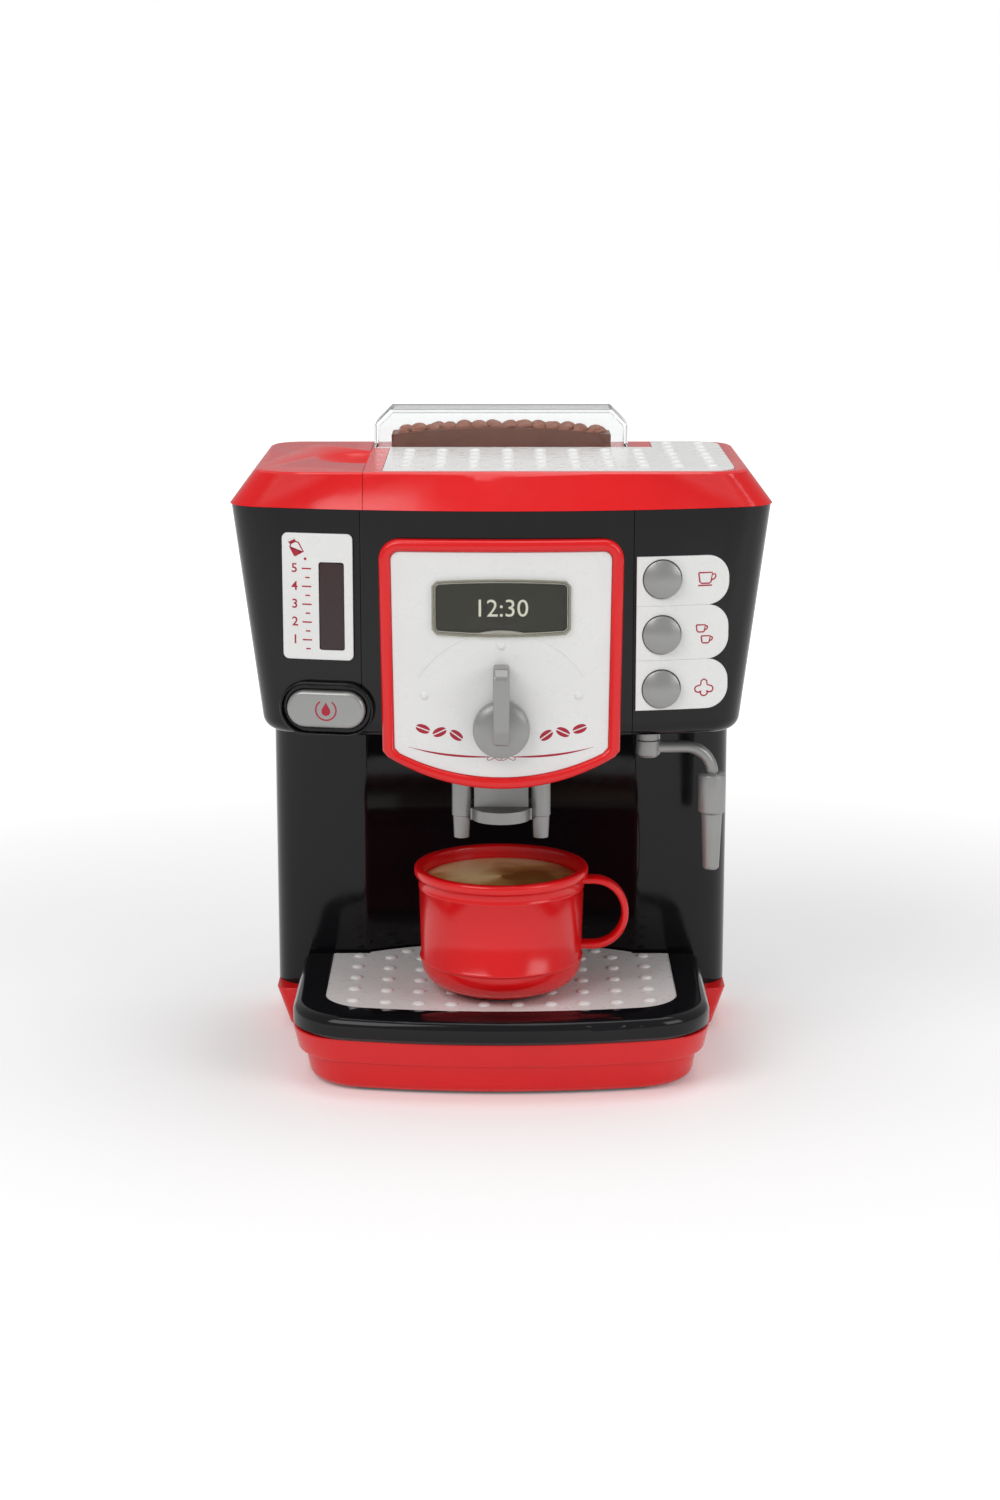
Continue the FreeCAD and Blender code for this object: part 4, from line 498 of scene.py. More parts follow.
def repeater():
    """Geometry Nodes that put a pattern on every point, turned and sized at random."""
    group = bpy.data.node_groups.new("repeat_pattern", "GeometryNodeTree")
    group.interface.new_socket("Geometry", in_out="INPUT", socket_type="NodeSocketGeometry")
    for word, kind in (("Pattern", "NodeSocketObject"), ("Material", "NodeSocketMaterial"),
                       ("Seed", "NodeSocketInt"), ("Turn", "NodeSocketFloat"),
                       ("Tilt", "NodeSocketFloat"), ("Least Size", "NodeSocketFloat")):
        group.interface.new_socket(word, in_out="INPUT", socket_type=kind)
    group.interface.new_socket("Geometry", in_out="OUTPUT", socket_type="NodeSocketGeometry")
    entry, leave = added(group, "NodeGroupInput"), added(group, "NodeGroupOutput")
    points = added(group, "GeometryNodeMeshToPoints")
    source = added(group, "GeometryNodeObjectInfo")
    put = added(group, "GeometryNodeInstanceOnPoints")
    real = added(group, "GeometryNodeRealizeInstances")
    finish = added(group, "GeometryNodeSetMaterial")
    angles = []
    for word in ("Tilt", "Tilt", "Turn"):
        spread = added(group, "FunctionNodeRandomValue")
        spread.data_type = "FLOAT"
        minus = added(group, "ShaderNodeMath", "MULTIPLY", {1: -1})
        shift = added(group, "ShaderNodeMath", "ADD", {1: 17 * len(angles)})
        linked(group, (entry.outputs[word], minus.inputs[0]),
               (minus.outputs[0], spread.inputs[2]),
               (entry.outputs[word], spread.inputs[3]),
               (entry.outputs["Seed"], shift.inputs[0]),
               (shift.outputs[0], spread.inputs["Seed"]))
        angles.append(spread.outputs[1])
    turn = added(group, "ShaderNodeCombineXYZ")
    for socket, angle in zip(turn.inputs, angles):
        linked(group, (angle, socket))
    size = added(group, "FunctionNodeRandomValue")
    size.data_type = "FLOAT"
    size.inputs[3].default_value = 1
    linked(group, (entry.outputs["Least Size"], size.inputs[2]),
           (entry.outputs["Seed"], size.inputs["Seed"]),
           (entry.outputs["Geometry"], points.inputs["Mesh"]),
           (entry.outputs["Pattern"], source.inputs["Object"]),
           (points.outputs["Points"], put.inputs["Points"]),
           (source.outputs["Geometry"], put.inputs["Instance"]),
           (turn.outputs["Vector"], put.inputs["Rotation"]),
           (size.outputs[1], put.inputs["Scale"]),
           (put.outputs["Instances"], real.inputs["Geometry"]),
           (real.outputs["Geometry"], finish.inputs["Geometry"]),
           (entry.outputs["Material"], finish.inputs["Material"]),
           (finish.outputs["Geometry"], leave.inputs["Geometry"]))
    return group


REPEATER = repeater()


def repeated(name, spots, pattern, material, body, nodes, seed=0, turn=0.0, tilt=0.0,
             least=1.0):
    """Copies of a pattern mesh at many spots, as one piece."""
    mesh = bpy.data.meshes.new(name + "_pattern")
    pattern.to_mesh(mesh)
    pattern.free()
    mesh.shade_smooth()
    sample = bpy.data.objects.new(name + "_pattern", mesh)
    scene.collection.objects.link(sample)
    field = bpy.data.meshes.new(name + "_spots")
    field.from_pydata(spots, [], [])
    carrier = bpy.data.objects.new(name + "_spots", field)
    scene.collection.objects.link(carrier)
    modifier = carrier.modifiers.new("repeat", "NODES")
    modifier.node_group = REPEATER
    given = {"Pattern": sample, "Material": material, "Seed": seed, "Turn": turn, "Tilt": tilt,
             "Least Size": least}
    for item in REPEATER.interface.items_tree:
        if item.name in given:
            modifier[item.identifier] = given[item.name]
    bpy.context.view_layer.update()
    graph = bpy.context.evaluated_depsgraph_get()
    result = bpy.data.meshes.new_from_object(carrier.evaluated_get(graph))
    carrier.modifiers.remove(modifier)
    for spare in (carrier, sample):
        bpy.data.objects.remove(spare)
    thing = bpy.data.objects.new(name, result)
    result.name = name
    result.shade_smooth()
    if not result.materials:
        result.materials.append(material)
    scene.collection.objects.link(thing)
    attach(thing, body)
    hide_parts(*nodes)


def lathe(profile, count, place=Matrix.Identity(4)):
    """Mesh turned about Z from (radius, height) pairs; a radius of 0 closes an end."""
    made = bmesh.new()
    rows = []
    for radius, level in profile:
        if radius == 0:
            rows.append([made.verts.new((0, 0, level))])
            continue
        rows.append([made.verts.new((radius * math.cos(math.tau * i / count),
                                     radius * math.sin(math.tau * i / count), level))
                     for i in range(count)])
    for below, above in zip(rows, rows[1:]):
        for i in range(count):
            j = (i + 1) % count
            corners = [below[i % len(below)], below[j % len(below)], above[j % len(above)],
                       above[i % len(above)]]
            corners = list(dict.fromkeys(corners))
            if len(corners) > 2:
                made.faces.new(corners)
    made.transform(place)
    bmesh.ops.recalc_face_normals(made, faces=made.faces)
    return made


def dome(radius, height, count=16):
    """Low round stud with a soft rim, open below where it stands on its plate."""
    return lathe([(radius * math.cos(math.radians(a)), height * math.sin(math.radians(a)))
                  for a in (-25, 0, 30, 55, 75)] + [(0, height)], count)


def even_grid(left, right, front, back, pitch_x, pitch_y):
    """Evenly spaced places that fill a rectangle, centred in it."""
    columns, rows = int((right - left) / pitch_x), int((back - front) / pitch_y)
    start_x = (left + right - columns * pitch_x) / 2
    start_y = (front + back - rows * pitch_y) / 2
    return [(start_x + i * pitch_x, start_y + j * pitch_y)
            for i in range(columns + 1) for j in range(rows + 1)]


deck_low, deck_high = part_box("deck_plate")
stud_radius, stud_height = 2.7 * MM, 1 * MM
stud_pitch, deck_pitch = 13.3 * MM, 13.5 * MM
plate_top = deck_high.z - stud_height
step_x, step_y = 62.6 * MM, 39.6 * MM
corner, plate_edge = 11 * MM, 0.4 * MM
deck_loop = [(deck_low.x, deck_low.y)]
deck_loop += round_corner((deck_high.x - corner, deck_low.y + corner), corner, -90, 0, 8)
deck_loop += round_corner((deck_high.x - corner, deck_high.y - corner), corner, 0, 90, 8)
deck_loop += [(step_x, deck_high.y), (step_x, step_y), (deck_low.x, step_y)]
deck_slab = loft([[(x, y, level) for x, y in deck_loop] for level in (deck_low.z, plate_top)])
softened(piece("warmer_plate", deck_slab, "machine", WHITE, ["deck_plate"]),
         plate_edge)
margin = 2 * stud_radius
warmer_spots = [(x, y, plate_top)
                for x, y in even_grid(deck_low.x + margin, deck_high.x - margin,
                                      deck_low.y + 1.5 * margin, deck_high.y - margin,
                                      stud_pitch, deck_pitch)
                if y < step_y - stud_radius or x > step_x + stud_radius]
repeated("warmer_studs", warmer_spots, dome(stud_radius, stud_height), WHITE, "machine",
         ["deck_plate"])


# Coffee beans under the clear hopper cover.
# One grooved bean, repeated at random turns in a heap over the moulded block, in satin brown; the
# block's darker brown is painted shade between the beans.
BEAN = moulded("bean_brown", (0.40, 0.12, 0.05), (0.28, 0.075, 0.03), 0.36, ripple=0.2,
               cloud=120.0)
# Painted shade: the bed under the beans is a darker brown, standing in for the shade in the gaps
# between them.
BEAN_BED_PAINTED_SHADE = moulded("bean_bed_painted_shade", (0.24, 0.065, 0.026), (0.17, 0.045, 0.018), 0.45)
bean_low, bean_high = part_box("bean_block")


def bean(length, width, height):
    """Coffee bean: an oval dome with a groove along its top."""
    made = bmesh.new()
    rows, around = 8, 14
    groove_depth, groove_half = 0.42, 0.17
    grid = []
    for i in range(rows + 1):
        tilt = math.radians(90 * i / rows)
        ring = []
        for j in range(around):
            turn = math.tau * j / around
            out = math.cos(tilt)
            x, y = out * math.cos(turn), out * math.sin(turn)
            groove = groove_depth * math.exp(-(y / groove_half)**2) * (1 - x**2)
            z = math.sin(tilt) - groove * math.sin(tilt)
            ring.append(made.verts.new((x * length / 2, y * width / 2, z * height)))
        grid.append(ring)
    for below, above in zip(grid, grid[1:]):
        for j in range(around):
            k = (j + 1) % around
            made.faces.new((below[j], below[k], above[k], above[j]))
    made.faces.new(grid[-1])
    made.faces.new(list(reversed(grid[0])))
    bmesh.ops.remove_doubles(made, verts=made.verts, dist=1e-7)
    bmesh.ops.recalc_face_normals(made, faces=made.faces)
    return made


block_edge, bean_sink = 255.4 * MM, 3.2 * MM
bean_long, bean_wide, bean_high_up = 8.2 * MM, 5.4 * MM, 3 * MM
bean_pitch_x, bean_pitch_y, bean_dip = 6.1 * MM, 4.4 * MM, 0.4 * MM
bed_gap, bed_steps = 0.3 * MM, 24
end_gap, side_gap = 4 * MM, 2.6 * MM
heap_edge, heap_crown = block_edge - bean_sink, bean_high.z - bean_sink
heap_half = bean_high.x - 1 * MM


def heap_level(x):
    """Height of the bed that the beans lie on."""
    return heap_edge + (heap_crown - heap_edge) * (1 - (x / heap_half)**2)


heap_front, heap_back = bean_low.y + bed_gap, bean_high.y - bed_gap
bed_spots = [heap_half * (2 * i / bed_steps - 1) for i in range(bed_steps + 1)]
bed_outline = [(-heap_half, bean_low.z)] + [(x, heap_level(x)) for x in bed_spots]
bed_outline.append((heap_half, bean_low.z))
bed = loft([[(x, y, z) for x, z in bed_outline] for y in (heap_front, heap_back)])
# The bed's darker brown is painted shade between the beans.
piece("bean_bed", bed, "machine", BEAN_BED_PAINTED_SHADE, ["bean_block"])
shake = random.Random(11)
bean_spots = []
for x, y in even_grid(-heap_half + end_gap, heap_half - end_gap, heap_front + side_gap,
                      heap_back - side_gap, bean_pitch_x, bean_pitch_y):
    shift_x, shift_y = shake.uniform(-1, 1) * MM, shake.uniform(-0.4, 0.4) * MM
    bean_spots.append((x + shift_x, y + shift_y, heap_level(x) - bean_dip))
repeated("bean_heap", bean_spots, bean(bean_long, bean_wide, bean_high_up), BEAN, "machine",
         ["bean_block"], seed=5, turn=0.9, tilt=0.22, least=0.86)


# Clear hopper cover.
# Thin transparent box with sloped upper corners, open below, standing on the deck.
def see_through(name, color, bending, least, most):
    """Transparent plastic whose gloss has faint marks."""
    material, tree, shader = new_material(name)
    haze = added(tree, "ShaderNodeGroup")
    haze.node_tree = SKIN
    spread = added(tree, "ShaderNodeMapRange", None, {"To Min": least, "To Max": most})
    linked(tree, (haze.outputs["Marks"], spread.inputs["Value"]),
           (spread.outputs["Result"], shader.inputs["Roughness"]))
    shader.inputs["Base Color"].default_value = (*color, 1)
    shader.inputs["Transmission Weight"].default_value = 1.0
    shader.inputs["IOR"].default_value = bending
    return material


CLEAR = see_through("clear_plastic", (0.89, 0.90, 0.90), 1.42, 0.0, 0.05)
dressed("clear_cover", "hopper_cover", "machine", CLEAR, soft_edge)


# Red bezel, white face panel and its raised details.
# The bezel is a rounded frame that follows the bow; the panel inside it is satin white with
# three raised studs and a faint raised arc round the knob, moulded in one with it.
def inset_loop(points, distance):
    """Closed anticlockwise outline moved inwards by a distance."""
    shifted = []
    for i, point in enumerate(points):
        here = Vector(point)
        before = (here - Vector(points[i - 1])).normalized()
        after = (Vector(points[(i + 1) % len(points)]) - here).normalized()
        normal = Vector((-before.y - after.y, before.x + after.x)).normalized()
        reach = distance / max(normal.dot(Vector((-before.y, before.x))), 0.5)
        shifted.append((here.x + normal.x * reach, here.y + normal.y * reach))
    return shifted


def soft_rings(back, height, radius, steps=4):
    """(inset, height) pairs up a plate's wall and over its rounded edge."""
    rings = [(0, back)]
    for i in range(steps + 1):
        turn = math.radians(90 * i / steps)
        rings.append((radius * (1 - math.cos(turn)), height - radius * (1 - math.sin(turn))))
    return rings


def relief(outline, rings, holes=()):
    """Plate in X and Z with its height along -Y, and holes with the same edge rings."""
    made = bmesh.new()
    rims = ([], [])
    for points, side in [(outline, 1)] + [(hole, -1) for hole in holes]:
        rows = [[made.verts.new((x, -height, z)) for x, z in inset_loop(points, side * inset)]
                for inset, height in rings]
        count = len(points)
        for below, above in zip(rows, rows[1:]):
            for i in range(count):
                j = (i + 1) % count
                made.faces.new((below[i], below[j], above[j], above[i]))
        for rim, row in zip(rims, (rows[0], rows[-1])):
            rim.extend(made.edges.get((row[i], row[(i + 1) % count])) for i in range(count))
    for rim in rims:
        bmesh.ops.triangle_fill(made, use_beauty=True, edges=rim)
    bmesh.ops.recalc_face_normals(made, faces=made.faces)
    return made


def wrapped(made):
    """Bend a relief round the head's bowed front."""
    striped(made)
    for vert in made.verts:
        vert.co.y = head_surface(vert.co.x, -vert.co.y)
    return made


def circle(x, z, radius, count=40):
    """Outline of a round thing, anticlockwise."""
    return [(x + radius * math.cos(math.tau * i / count),
             z + radius * math.sin(math.tau * i / count)) for i in range(count)]


def rectangle(left, right, low, high, corner, steps=6):
    """Rectangle with round corners, anticlockwise."""
    points = []
    for x, z, start in ((right - corner, low + corner, -90), (right - corner, high - corner, 0),
                        (left + corner, high - corner, 90), (left + corner, low + corner, 180)):
        points += round_corner((x, z), corner, start, start + 90, steps)
    return points


display_half, display_rise, display_z = 25.65 * MM, 9.2 * MM, 196.2 * MM


def display_outline(inset, steps=12):
    """Display window: upright sides, and a top and bottom that bulge a little."""
    half, rise = display_half - inset, display_rise - inset
    swell, middle, corner = 0.9 * MM, display_z, 1.2 * MM
    points = []
    for side in (-1, 1):
        for i in range(steps + 1):
            x = side * -(half - corner) * (1 - 2 * i / steps)
            points.append((x, middle + side * (rise + swell * (1 - (x / half)**2))))
        points.append((side * half, middle + side * (rise - corner)))
        points.append((side * half, middle - side * (rise - corner)))
    return points


bezel_frame, bezel_high, bezel_round = 4.6 * MM, 4.5 * MM, 1.9 * MM
panel_high, panel_gap, panel_round = 3.2 * MM, 0.05 * MM, 0.3 * MM
piece("red_bezel", wrapped(relief(shield_outline(0), soft_rings(0, bezel_high, bezel_round, 6),
                                  [shield_outline(bezel_frame)])),
      "machine", RED, ["bezel"])
piece("white_panel", wrapped(relief(shield_outline(bezel_frame + panel_gap),
                                    soft_rings(0, panel_high, panel_round),
                                    [display_outline(0)])),
      "machine", WHITE, ["face_panel"])
knob_z, mark_ring, mark_turn = 149 * MM, 32.4 * MM, 67
mark_radius, mark_high = 1.7 * MM, 0.7 * MM
FRONTWARDS = Matrix.Rotation(math.radians(90), 4, "X")
mark_profile = [(mark_radius * math.cos(math.radians(a)), mark_high * math.sin(math.radians(a)))
                for a in (-20, 0, 30, 60, 80)] + [(0, mark_high)]
raised = []
for turn in (-mark_turn, 0, mark_turn):
    x = mark_ring * math.sin(math.radians(turn))
    z = knob_z + mark_ring * math.cos(math.radians(turn))
    base = Matrix.Translation((x, head_surface(x, panel_high), z))
    raised.append(lathe(mark_profile, 20, base @ FRONTWARDS))


def arc_band(centre, radius, width, start, end, steps=40):
    """Outline of a band that follows an arc."""
    outer = round_corner(centre, radius + width / 2, start, end, steps)
    return outer + list(reversed(round_corner(centre, radius - width / 2, start, end, steps)))


arc_radius, arc_wide, arc_high, arc_round = 38 * MM, 1 * MM, 0.22 * MM, 0.2 * MM
arc_start, arc_end = 32, 148
arc_rings = soft_rings(panel_high - panel_round, panel_high + arc_high, arc_round)
raised.append(wrapped(relief(arc_band((0, knob_z), arc_radius, arc_wide, arc_start, arc_end),
                             arc_rings)))
piece("panel_relief", joined(*raised), "machine", WHITE, ["face_panel"])


# Smoked display with its card.
# A bulged lens in smoked plastic, pressed into the panel over a dark card with plain digits; the
# digits carry a painted glow.
SMOKED = see_through("smoked_plastic", (0.50, 0.49, 0.42), 1.35, 0.03, 0.1)
CARD = moulded("display_card", (0.05, 0.052, 0.045), (0.025, 0.027, 0.024), 0.4)
# Painted glow: the printed digits are given a white emission, though no lamp lights them.
PAINTED_GLOW_DIGITS = moulded("display_digits", (0.85, 0.86, 0.84), (0.8, 0.81, 0.79), 0.4)
digit_painted_glow = PAINTED_GLOW_DIGITS.node_tree.nodes["Principled BSDF"]
digit_painted_glow.inputs["Emission Color"].default_value = (1, 1, 1, 1)
digit_painted_glow.inputs["Emission Strength"].default_value = 0.9


def lettering(text, x, z, size, height, thick, bold):
    """Digits as a thin relief, centred on a place."""
    curve = bpy.data.curves.new("lettering", "FONT")
    curve.body = text
    curve.size = size
    curve.align_x = "CENTER"
    curve.align_y = "CENTER"
    curve.extrude = thick / 2
    curve.offset = bold
    curve.resolution_u = 3
    holder = bpy.data.objects.new("lettering", curve)
    scene.collection.objects.link(holder)
    bpy.context.view_layer.update()
    graph = bpy.context.evaluated_depsgraph_get()
    mesh = bpy.data.meshes.new_from_object(holder.evaluated_get(graph))
    bpy.data.objects.remove(holder)
    made = bmesh.new()
    made.from_mesh(mesh)
    bmesh.ops.remove_doubles(made, verts=made.verts, dist=1e-7)
    for vert in made.verts:
        vert.co = Vector((x + vert.co.x, -height - vert.co.z, z + vert.co.y))
    return made


lens_high, lens_back, lens_round = 4.3 * MM, 1.8 * MM, 1.3 * MM
card_high, card_inset, card_round = 1.6 * MM, 0.35 * MM, 0.1 * MM
digit_size, digit_drop, digit_lift, digit_thick = 9.6 * MM, 0.6 * MM, 0.06 * MM, 0.05 * MM
time_shown = lettering("12:30", 0, display_z - digit_drop, digit_size, card_high + digit_lift,
                       digit_thick, 0)
piece("display_lens_dome", wrapped(relief(display_outline(panel_gap),
                                          soft_rings(lens_back, lens_high, lens_round, 5))),
      "machine", SMOKED, ["display_lens"])
piece("display_ground", wrapped(relief(display_outline(card_inset),
                                       soft_rings(0.1 * MM, card_high, card_round, 1))),
      "machine", CARD, ["display_card"])
# The printed digits, with their painted glow.
piece("display_digits", wrapped(time_shown), "machine", PAINTED_GLOW_DIGITS, ["display_card"])


# Selector knob with its lever.
# Silver plastic: a turned disc with a domed face, and a blade with softened edges across it.
SILVER = moulded("silver_plastic", (0.36, 0.36, 0.352), (0.30, 0.30, 0.293), 0.34,
                 metallic=0.5)
knob_back = head_front - panel_high - 0.35 * MM
knob_radius, knob_depth, crown = 11 * MM, 7.5 * MM, 1.6 * MM
knob_chamfer, knob_round, knob_elbow = 0.3 * MM, 1.2 * MM, 0.35 * MM
knob_rim, crown_share = knob_depth - crown, 0.98
knob_profile = [(0, 0), (knob_radius - knob_chamfer, 0), (knob_radius, knob_chamfer),
                (knob_radius, knob_rim - knob_round),
                (knob_radius - knob_elbow, knob_rim - knob_elbow),
                (knob_radius - knob_round, knob_rim)]
knob_profile += [(knob_radius * share, knob_rim + crown * (1 - share**2) * crown_share)
                 for share in (0.8, 0.6, 0.4, 0.2)] + [(0, knob_depth)]
disc = lathe(knob_profile, 64, Matrix.Translation((0, knob_back, knob_z)) @ FRONTWARDS)
grip_half, grip_front, grip_back = 3.15 * MM, -71 * MM, knob_back - 0.35 * MM
disc_edge, grip_edge = 0.2 * MM, 1 * MM
low, high = knob_z - 5 * MM, knob_z + 25.4 * MM
side_view = [(grip_back, low), (grip_back, high),
             (grip_front + grip_half, high), (grip_front, high - grip_half),
             (grip_front, low + 2 * grip_half), (grip_front + grip_half, low)]
grip = loft([[(x, y, z) for y, z in side_view] for x in (-grip_half, grip_half)])
softened(piece("knob_disc", disc, "selector_knob", SILVER, ["selector_knob"]),
         disc_edge)
softened(piece("knob_lever", grip, "selector_knob", SILVER, ["selector_knob"]),
         grip_edge, 20, 4)


# White level plate with its window and printed scale.
# Satin white card with a dark red window; the crimson jug, digits and ticks are thin prints.
PRINT = moulded("crimson_print", (0.42, 0.008, 0.03), (0.36, 0.006, 0.025), 0.45)
WINDOW = moulded("window_red", (0.030, 0.004, 0.006), (0.016, 0.002, 0.004), 0.12)
plate_high, plate_back, pane_high = 1.5 * MM, 0.1 * MM, 0.8 * MM
card_outline = rectangle(-85 * MM, -57.4 * MM, 174.3 * MM, 223.7 * MM, 2.2 * MM)
pane = rectangle(-70.7 * MM, -60.8 * MM, 178.1 * MM, 212.6 * MM, 1 * MM)
card_rings = soft_rings(plate_back, plate_high, 0.3 * MM)
pane_rings = soft_rings(plate_back, pane_high, 0.3 * MM)
piece("level_card", wrapped(relief(card_outline, card_rings, [pane])), "machine", WHITE,
      ["level_plate"])
piece("level_pane", wrapped(relief(inset_loop(pane, 0.05 * MM), pane_rings)), "machine", WINDOW,
      ["level_window"])


def stroke(points, width):
    """Outline of a line of a given width through points."""
    left, right = [], []
    for i, point in enumerate(points):
        before = Vector(points[max(i - 1, 0)])
        after = Vector(points[min(i + 1, len(points) - 1)])
        along = (after - before).normalized()
        out = Vector((-along.y, along.x)) * width / 2
        left.append((point[0] - out.x, point[1] - out.y))
        right.append((point[0] + out.x, point[1] + out.y))
    return left + list(reversed(right))


print_thick, line = 0.08 * MM, 0.55 * MM


def printed(name, outlines, height, body, node, extra=()):
    """Thin print on the bowed front, from flat outlines and finished reliefs."""
    rings = [(0, height - print_thick / 2), (0, height + print_thick / 2)]
    shapes = [relief(outline, rings) for outline in outlines]
    piece(name, wrapped(joined(*shapes, *extra)), body, PRINT, [node])


def moved(points, x, z, turn=0, scale=MM):
    """Points in millimetres, turned, sized and shifted."""
    across, up = math.cos(math.radians(turn)), math.sin(math.radians(turn))
    return [(x + scale * (right * across - rise * up), z + scale * (right * up + rise * across))
            for right, rise in points]


jug = [(-1.9, -2.6), (1.9, -2.6), (1.9, 1.4), (0.9, 2.3), (-0.9, 2.3), (-1.9, 1.4), (-1.9, -2.6)]
cap = [(-1.3, 2.5), (1.3, 2.5), (1.3, 3.5), (-1.3, 3.5), (-1.3, 2.5)]
jug_x, jug_z, jug_turn = -79.5 * MM, 218 * MM, 28
drip_x, drip_z, drip_radius = -75.9 * MM, 213.8 * MM, 0.55 * MM
marks = [stroke(moved(shape, jug_x, jug_z, jug_turn), line) for shape in (jug, cap)]
marks.append(circle(drip_x, drip_z, drip_radius, 12))
top_level, level_pitch, tick_corner = 210 * MM, 7 * MM, 0.1 * MM
digit_x, level_digit, digit_bold = -80.2 * MM, 5 * MM, 0.07 * MM
digits = []
for i in range(5):
    level = top_level - i * level_pitch
    digits.append(lettering(str(5 - i), digit_x, level, level_digit, plate_high, print_thick,
                            digit_bold))
    for middle, left, right in ((level, -77.3 * MM, -73.6 * MM),
                                (level - level_pitch / 2, -76 * MM, -74.2 * MM)):
        marks.append(rectangle(left, right, middle - line / 2, middle + line / 2, tick_corner, 1))
printed("level_print", marks, plate_high, "machine", "level_plate", digits)


# White plate with three lobes, its round buttons and their signs.
# Three satin white lobes meet at fine seams; the buttons are domed silver plastic, and the signs
# are thin crimson prints of a cup, two cups and steam.
lobe_levels = (154.6 * MM, 174.3 * MM, 195.7 * MM, 215 * MM)
lobe_left, lobe_right, lobe_corner = 52.3 * MM, 88.6 * MM, 8.6 * MM
key_x, key_hole = 62.3 * MM, 7.7 * MM
KEY_LEVELS = {"steam_button": 163 * MM, "double_cup_button": 184.4 * MM,
              "single_cup_button": 206.2 * MM}
lobe_rings = soft_rings(plate_back, plate_high, 0.25 * MM)
lobes = []
for low, high, middle in zip(lobe_levels, lobe_levels[1:], KEY_LEVELS.values()):
    centre_x = lobe_right - lobe_corner
    outline = [(lobe_left, low)]
    outline += round_corner((centre_x, low + lobe_corner), lobe_corner, -90, 0, 10)
    outline += round_corner((centre_x, high - lobe_corner), lobe_corner, 0, 90, 10)
    outline.append((lobe_left, high))
    lobes.append(wrapped(relief(outline, lobe_rings, [circle(key_x, middle, key_hole)])))
piece("button_lobes", joined(*lobes), "machine", WHITE, ["button_plate"])
for button in KEY_LEVELS:
    dressed(button + "_cap", button, button, SILVER, soft_edge, 40)
mug = [(-2.7, 2.1), (-2.2, -1.5), (-1.5, -2.1), (1.5, -2.1), (2.2, -1.5), (2.7, 2.1), (-2.7, 2.1)]
ear = [(2.6, 1.3), (3.8, 1.5), (4.1, 0.6), (3.5, -0.4), (2.35, -0.8)]
saucer = [(-2.9, -2.9), (2.6, -2.9)]
sign_x, small_cup, steam_drop = 79.2 * MM, 0.66 * MM, 0.6 * MM
signs = [stroke(moved(shape, sign_x, KEY_LEVELS["single_cup_button"]), line)
         for shape in (mug, ear, saucer)]
for shift_x, z in ((-1.6 * MM, 186.4 * MM), (0.4 * MM, 182 * MM)):
    for shape in (mug, ear):
        signs.append(stroke(moved(shape, sign_x + shift_x, z, 0, small_cup), line))
cloud = round_corner((-2.3, 0), 1.3, 120, 330, 10) + round_corner((0, -1.2), 1.5, 200, 340, 8)
cloud += round_corner((2.3, 0), 1.3, 210, 420, 10)
cloud += [(1.3, 1.6), (1.1, 3.2), (0, 4), (-1.1, 3.2), (-1.3, 1.6), cloud[0]]
signs.append(stroke(moved(cloud, sign_x, KEY_LEVELS["steam_button"] - steam_drop), line))
printed("button_signs", signs, plate_high, "machine", "button_plate")


# Long pump button in its black dish.
# A black gloss rim round a sunk floor; the silver button carries a crimson drop in an open ring.
def stadium(x, z, half, height, steps=14):
    """Long outline with round ends."""
    radius = height / 2
    return (round_corner((x + half - radius, z), radius, -90, 90, steps)
            + round_corner((x - half + radius, z), radius, 90, 270, steps))


pump_x, pump_z = -68.4 * MM, 154.85 * MM
pump_high, dish_high, dish_round = 4.2 * MM, 3 * MM, 0.48 * MM
floor_high, floor_round, floor_gap = 1 * MM, 0.3 * MM, 0.02 * MM
dish = stadium(pump_x, pump_z, 18.6 * MM, 21.4 * MM)
well = stadium(pump_x, pump_z, 17.6 * MM, 19.4 * MM)
opening = stadium(pump_x, pump_z, 15.85 * MM, 15.2 * MM)
dish_rim = wrapped(relief(dish, soft_rings(plate_back, dish_high, dish_round), [well]))
dish_floor = wrapped(relief(inset_loop(well, floor_gap),
                            soft_rings(plate_back, floor_high, floor_round), [opening]))
piece("pump_dish", joined(dish_rim, dish_floor), "machine", BLACK, ["button_dish"])
dressed("pump_cap", "pump_button", "pump_button", SILVER, 0, 40)
drop = [(0, 3.1), (0.9, 1.5), (1.65, 0.2), (1.75, -0.9), (1.2, -1.9), (0, -2.35), (-1.2, -1.9),
        (-1.75, -0.9), (-1.65, 0.2), (-0.9, 1.5)]
open_ring, open_ring_wide = 4 * MM, 0.6 * MM
emblem = [moved(list(reversed(drop)), pump_x, pump_z),
          arc_band((pump_x, pump_z), open_ring, open_ring_wide, -235, 55, 30)]
printed("pump_sign", emblem, pump_high, "pump_button", "pump_button")


# Crimson ornament on the panel.
# Two sprays of coffee beans, a swash and a small knot, all thin prints.
swash_level, swash_dip, swash_climb = 139 * MM, 1.5 * MM, 3.6 * MM
swash_start, swash_reach = 5 * MM, 31 * MM
swash_thick, swash_thin = 0.75 * MM, 0.12 * MM


def swash(side, steps=24):
    """Slender curve that thins towards its ends."""
    upper, lower = [], []
    for i in range(steps + 1):
        share = i / steps
        x = side * (swash_start + swash_reach * share)
        z = swash_level - swash_dip + swash_climb * share**2.4
        thick = swash_thick * math.sin(math.pi * min(share + 0.06, 1))**0.8 + swash_thin
        upper.append((x, z + thick / 2))
        lower.append((x, z - thick / 2))
    outline = lower + list(reversed(upper))
    return outline if side > 0 else list(reversed(outline))


def half_bean(side, steps=10):
    """Half of a bean's outline beside its groove, in millimetres."""
    half_length, groove, half_width = 2.8, 0.24, 1.5
    ring = [(half_length * math.cos(math.pi * i / steps),
             side * (groove + half_width * math.sin(math.pi * i / steps)))
            for i in range(steps + 1)]
    return ring if side > 0 else list(reversed(ring))


